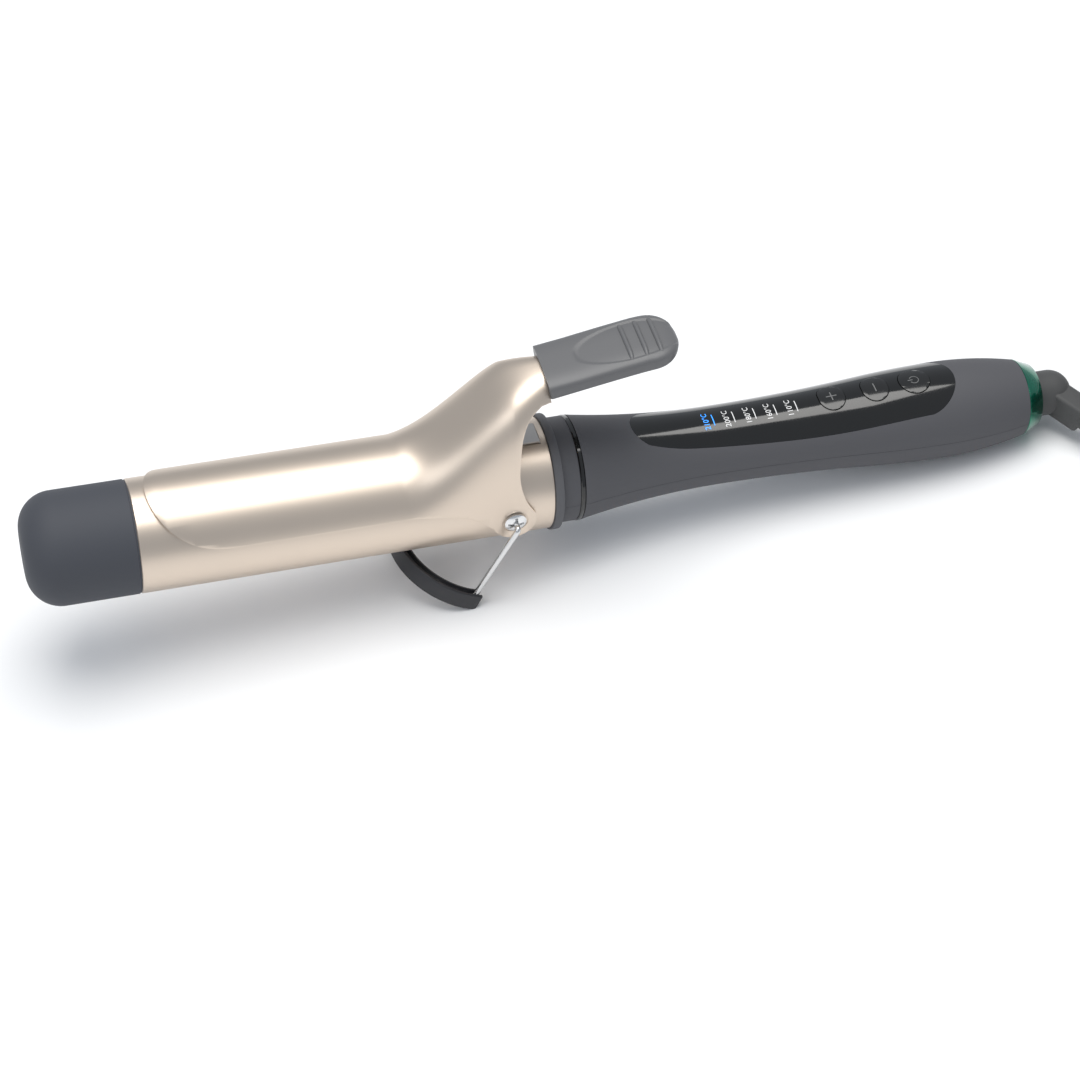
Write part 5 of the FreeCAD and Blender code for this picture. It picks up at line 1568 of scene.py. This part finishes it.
    def plate(self) -> None:
        """The coated plate, cut from a thin arched shell."""
        made = self.envelope("lever_plate", 0.0, 3.0)
        inside = self.envelope("inside", self.thick, 6.0)
        Bench.carve(made, inside)
        half = self.radius + 3
        outline = [spot - Vector((0, half, 0)) for spot in self.side()]
        trim = Bench.prism("trim", outline, Vector((0, 2 * half, 0)))
        Bench.carve(made, trim, how="INTERSECT")
        reach = Vector((0, self.radius + 4, 0))
        cuts = [Bench.drum("hole", self.hole, -reach, reach, 64)]
        seat = Vector((0, self.radius - self.dish_depth, 0))
        cuts += [Bench.drum("dish", self.dish, seat * sign, reach * sign, 64) for sign in (1, -1)]
        Bench.carve(made, *cuts)
        Bench.tidy(made, 0.12)
        Bench.soften(made, 0.32, 2, 55)
        settle(made, Body.LEVER, CHAMPAGNE, ("lever_plate",), 32)

    def cap_section(self, place: float) -> tuple[float, float, float]:
        """The cap's half width, bottom and top at a place."""
        bottom = line_value(self.cap_low, place)
        top = line_value(self.cap_high, place)
        reach = self.cap_back - self.cap_round
        share = min(max((place - reach) / self.cap_round, 0.0), 1.0)
        round_off = math.sqrt(max(1 - share**2.2, 0.0))
        middle = (bottom + top) / 2 + 0.2
        height = (top - bottom) / 2 * math.sqrt(max(1 - share**4, 0.0))
        return self.cap_half * round_off, middle - height, middle + height

    def cap_top(self, place: float, across: float) -> float:
        """The height of the cap's upper face, with its shallow pad."""
        half, bottom, top = self.cap_section(place)
        share = min(abs(across) / max(half, 0.01), 1.0)
        middle = (bottom + top) / 2
        level = middle + (top - middle) * (1 - share**3.6) ** (1 / 3.6)
        x, long_half, wide_half, depth = self.pad
        inside = ((place - x) / long_half) ** 2 + (across / wide_half) ** 2
        blend = min(max((1.06 - inside) / 0.14, 0.0), 1.0)
        return level - depth * blend * blend * (3 - 2 * blend)

    def cap(self) -> None:
        """The moulded cap: a sleeve over the neck, a shallow pad and three grip ribs."""
        slope = math.tan(math.radians(self.lean))
        rings = []
        count = 150
        start = self.back + 0.05
        for step in range(count):
            place = start + (self.cap_back - start) * min(step / count, 0.999)
            half, bottom, top = self.cap_section(place)
            middle = (bottom + top) / 2
            if step < 3:
                half -= 0.35 * (1 - step / 3) ** 2
            ring = []
            for around in range(128):
                angle = math.tau * around / 128
                across = half * math.copysign(abs(math.cos(angle)) ** 0.555, math.cos(angle))
                if math.sin(angle) > 0:
                    level = self.cap_top(place, across)
                else:
                    level = middle - (middle - bottom) * abs(math.sin(angle)) ** 0.555
                shift = (level - self.seam) * slope * max(1 - (place - start) / 20, 0.0)
                ring.append(Vector((place - shift, across, level)))
            rings.append(ring)
        made = loft("thumb_cap", rings)
        parts = [made]
        for place in self.ribs:
            route = []
            for step in range(25):
                across = -self.rib_half + 2 * self.rib_half * step / 24
                sink = 0.7 * abs(across / self.rib_half) ** 6
                route.append(Vector((place, across, self.cap_top(place, across) - 0.05 - sink)))
            parts.append(Bench.tubing("rib", route, self.rib_radius))
        made = Bench.join("thumb_cap", *parts)
        settle(made, Body.LEVER, CAP_GREY, ("thumb_cap",), 62)

    def spring(self) -> None:
        """The leaf spring: hooked through the barrel, folded over, and up under the neck."""
        bend = self.fold_bend
        low = self.spring_low
        fold = arc((self.fold_place, low + bend), bend, 270, 90, 16)
        hook = [(11.7, 17.6), (11.7, low - 0.4), (11.5, low - 0.1), (11.2, low)]
        half = self.strip_half
        body = [Vector((x, -half, z)) for x, z in [*hook, *fold, self.spring_end]]
        made = Bench.chain("lever_spring", body)
        Bench.sweep(made, (0, 2 * half, 0))
        Bench.modify(made, "SOLIDIFY", thickness=self.strip_thick, offset=0.0)
        Bench.tidy(made)
        settle(made, Body.IRON, STRIP, ("lever_spring",))
        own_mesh(made)


def hermite(
    place: float, x0: float, y0: float, m0: float, x1: float, y1: float, m1: float
) -> float:
    """A value on the cubic between two points with given slopes."""
    reach = x1 - x0
    t = min((place - x0) / reach, 1.0)
    start = (1 + 2 * t) * (1 - t) ** 2 * y0 + t * (1 - t) ** 2 * reach * m0
    return start + t * t * (3 - 2 * t) * y1 + t * t * (t - 1) * reach * m1


def line_value(knots: Sequence[Spot], place: float) -> float:
    """A value read off the straight runs between knots."""
    for (x0, y0), (x1, y1) in zip(knots, knots[1:]):
        if place <= x1:
            return y0 + (y1 - y0) * max(place - x0, 0.0) / (x1 - x0)
    return knots[-1][1]


def loft(name: str, rings: Sequence[Sequence[Vector]]) -> bpy.types.Object:
    """A closed skin over rings of equal counts, with both ends filled."""
    count = len(rings[0])
    verts = [tuple(spot) for ring in rings for spot in ring]
    faces = [tuple(range(count)), tuple(len(verts) - 1 - i for i in range(count))]
    for index in range(len(rings) - 1):
        base = index * count
        for step in range(count):
            after = (step + 1) % count
            faces.append((base + step, base + after, base + count + after, base + count + step))
    mesh = bpy.data.meshes.new(name)
    mesh.from_pydata(verts, [], faces)
    made = bpy.data.objects.new(name, mesh)
    bpy.context.scene.collection.objects.link(made)
    return Bench.tidy(made)


# ---------------------------------------------------------------------------
# stand and pivot
# ---------------------------------------------------------------------------


@dataclass(frozen=True)
class Stand:
    """The wire bail, its half-round foot and the two hollow pivot screws."""

    wire: float = 1.0
    outside: float = 24.35
    inside: float = 15.0
    reach: float = 35.0
    middle: float = 22.5
    angle: float = 67.0
    foot_inner: float = 20.6
    foot_outer: float = 24.4
    foot_above: float = 2.4
    foot_below: float = 4.2
    behind: float = 2.4
    head: float = 3.7
    head_rise: float = 1.9
    seat: float = 20.15
    shank: float = 2.45
    bore: float = 1.06

    def axes(self) -> Matrix:
        """The stand's own frame: X bows away from the legs, Y goes across, Z runs down them."""
        angle = math.radians(self.angle)
        leg = Vector((-math.cos(angle), 0, -math.sin(angle)))
        bow = Vector((-math.sin(angle), 0, math.cos(angle)))
        return Matrix((bow, (0, 1, 0), leg)).transposed().to_4x4()

    def build(self) -> None:
        """Builds the wire, the foot and the screws."""
        self.bail()
        self.foot()
        self.screws()

    def bail(self) -> None:
        """The wire from one screw, around the foot, to the other screw."""
        corners = [Vector((0, self.inside, 0)), Vector((0, self.outside, 0))]
        corners.append(Vector((0, self.middle + 0.2, self.reach - 1.5)))
        route = rounded(corners, 0.9, 8)
        half = [Vector((x, y, self.reach)) for x, y in arc((0.0, 0.0), self.middle, 90, -90, 48)]
        back = [Vector((spot.x, -spot.y, spot.z)) for spot in reversed(route)]
        made = Bench.tubing("stand_wire", route + half + back, self.wire)
        made.data.transform(self.axes())
        settle(made, Body.STAND, WIRE, ("stand_wire",), 50)

    def sector(
        self, name: str, inner: float, outer: float, low: float, high: float
    ) -> bpy.types.Object:
        """A bowed half ring between two radii and two places down the legs."""
        outside = math.degrees(math.asin(self.behind / outer))
        inside = math.degrees(math.asin(self.behind / inner))
        loop = arc((0.0, 0.0), outer, -90 - outside, 90 + outside, 72)
        loop += arc((0.0, 0.0), inner, 90 + inside, -90 - inside, 72)
        rise = Vector((0, 0, high - low))
        return Bench.prism(name, [Vector((x, y, low)) for x, y in loop], rise)

    def foot(self) -> None:
        """The half-round foot, flat where it stands on the floor."""
        low = self.reach - self.foot_above
        high = self.reach + self.foot_below
        made = self.sector("stand_foot", self.foot_inner, self.foot_outer, low, high)
        Bench.soften(made, 0.5, 3)
        half = self.wire * 0.9
        groove = self.sector("groove", self.middle - half, self.middle + half, low - 1, self.reach)
        Bench.carve(made, groove)
        made.data.transform(POSE @ self.axes())
        floor = Bench.block("floor_cut", (-0.3, -0.3, -0.2), (0.3, 0.3, 0.00002))
        Bench.carve(made, floor)
        settle(made, Body.STAND, FOOT_BLACK, ("stand_foot",), posed=True)

    def screws(self) -> None:
        """The domed screw heads with a cross slot and the wire's hole."""
        dome = self.head_rise * 0.55
        base = self.seat + self.head_rise - dome
        ball = (self.head**2 + dome**2) / (2 * dome)
        swing = math.degrees(math.asin(self.head / ball))
        inside = self.inside
        outline = [(inside, self.bore), (inside, self.shank), (self.seat, self.shank)]
        outline += [(self.seat, self.head - 0.1), (self.seat + 0.1, self.head)]
        last = math.degrees(math.asin(self.bore / ball))
        outline += arc((base + dome - ball, 0.0), ball, swing, last, 12)
        first = Bench.lathe("pivot_screws", outline, 64, closed=True)
        slots = [
            Bench.block("slot", (self.seat + 1.0, -2.7, -0.5), (self.seat + 5, 2.7, 0.5)),
            Bench.block("slot", (self.seat + 1.0, -0.5, -2.7), (self.seat + 5, 0.5, 2.7)),
        ]
        Bench.carve(first, *slots)
        Bench.soften(first, 0.12, 2, 40)
        first.data.transform(Matrix.Rotation(math.radians(90), 4, "Z"))
        second = Bench.copy(first, "screw", Matrix.Rotation(math.radians(180), 4, "Z"))
        made = Bench.join("pivot_screws", first, second)
        settle(made, Body.IRON, CHROME, ("pivot_screws",))


# ---------------------------------------------------------------------------
# internals
# ---------------------------------------------------------------------------


@dataclass(frozen=True)
class Internals:
    """The heater, board and contacts inside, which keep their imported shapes."""

    finishes: Mapping[str, Finish]

    def dress(self) -> None:
        """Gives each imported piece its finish."""
        nodes = frame["nodes"]
        for name, finish in self.finishes.items():
            node = nodes[name]
            node.data.materials.clear()
            node.data.materials.append(finish.make())
            LOG.info("%s: packed shape, %s", name, finish.name)


def main() -> None:
    """Builds the scene piece by piece."""
    logging.basicConfig(level=logging.INFO, format="%(name)s %(message)s")
    Studio().build()
    Cord().build(Plug())
    Barrel().build()
    Handle().build()
    Rings().build()
    Elbow().build()
    Clamp().build()
    Stand().build()
    Internals(CAD_FINISHES).dress()
    Bench.clear()
    bpy.context.view_layer.update()


if __name__ == "__main__":
    main()
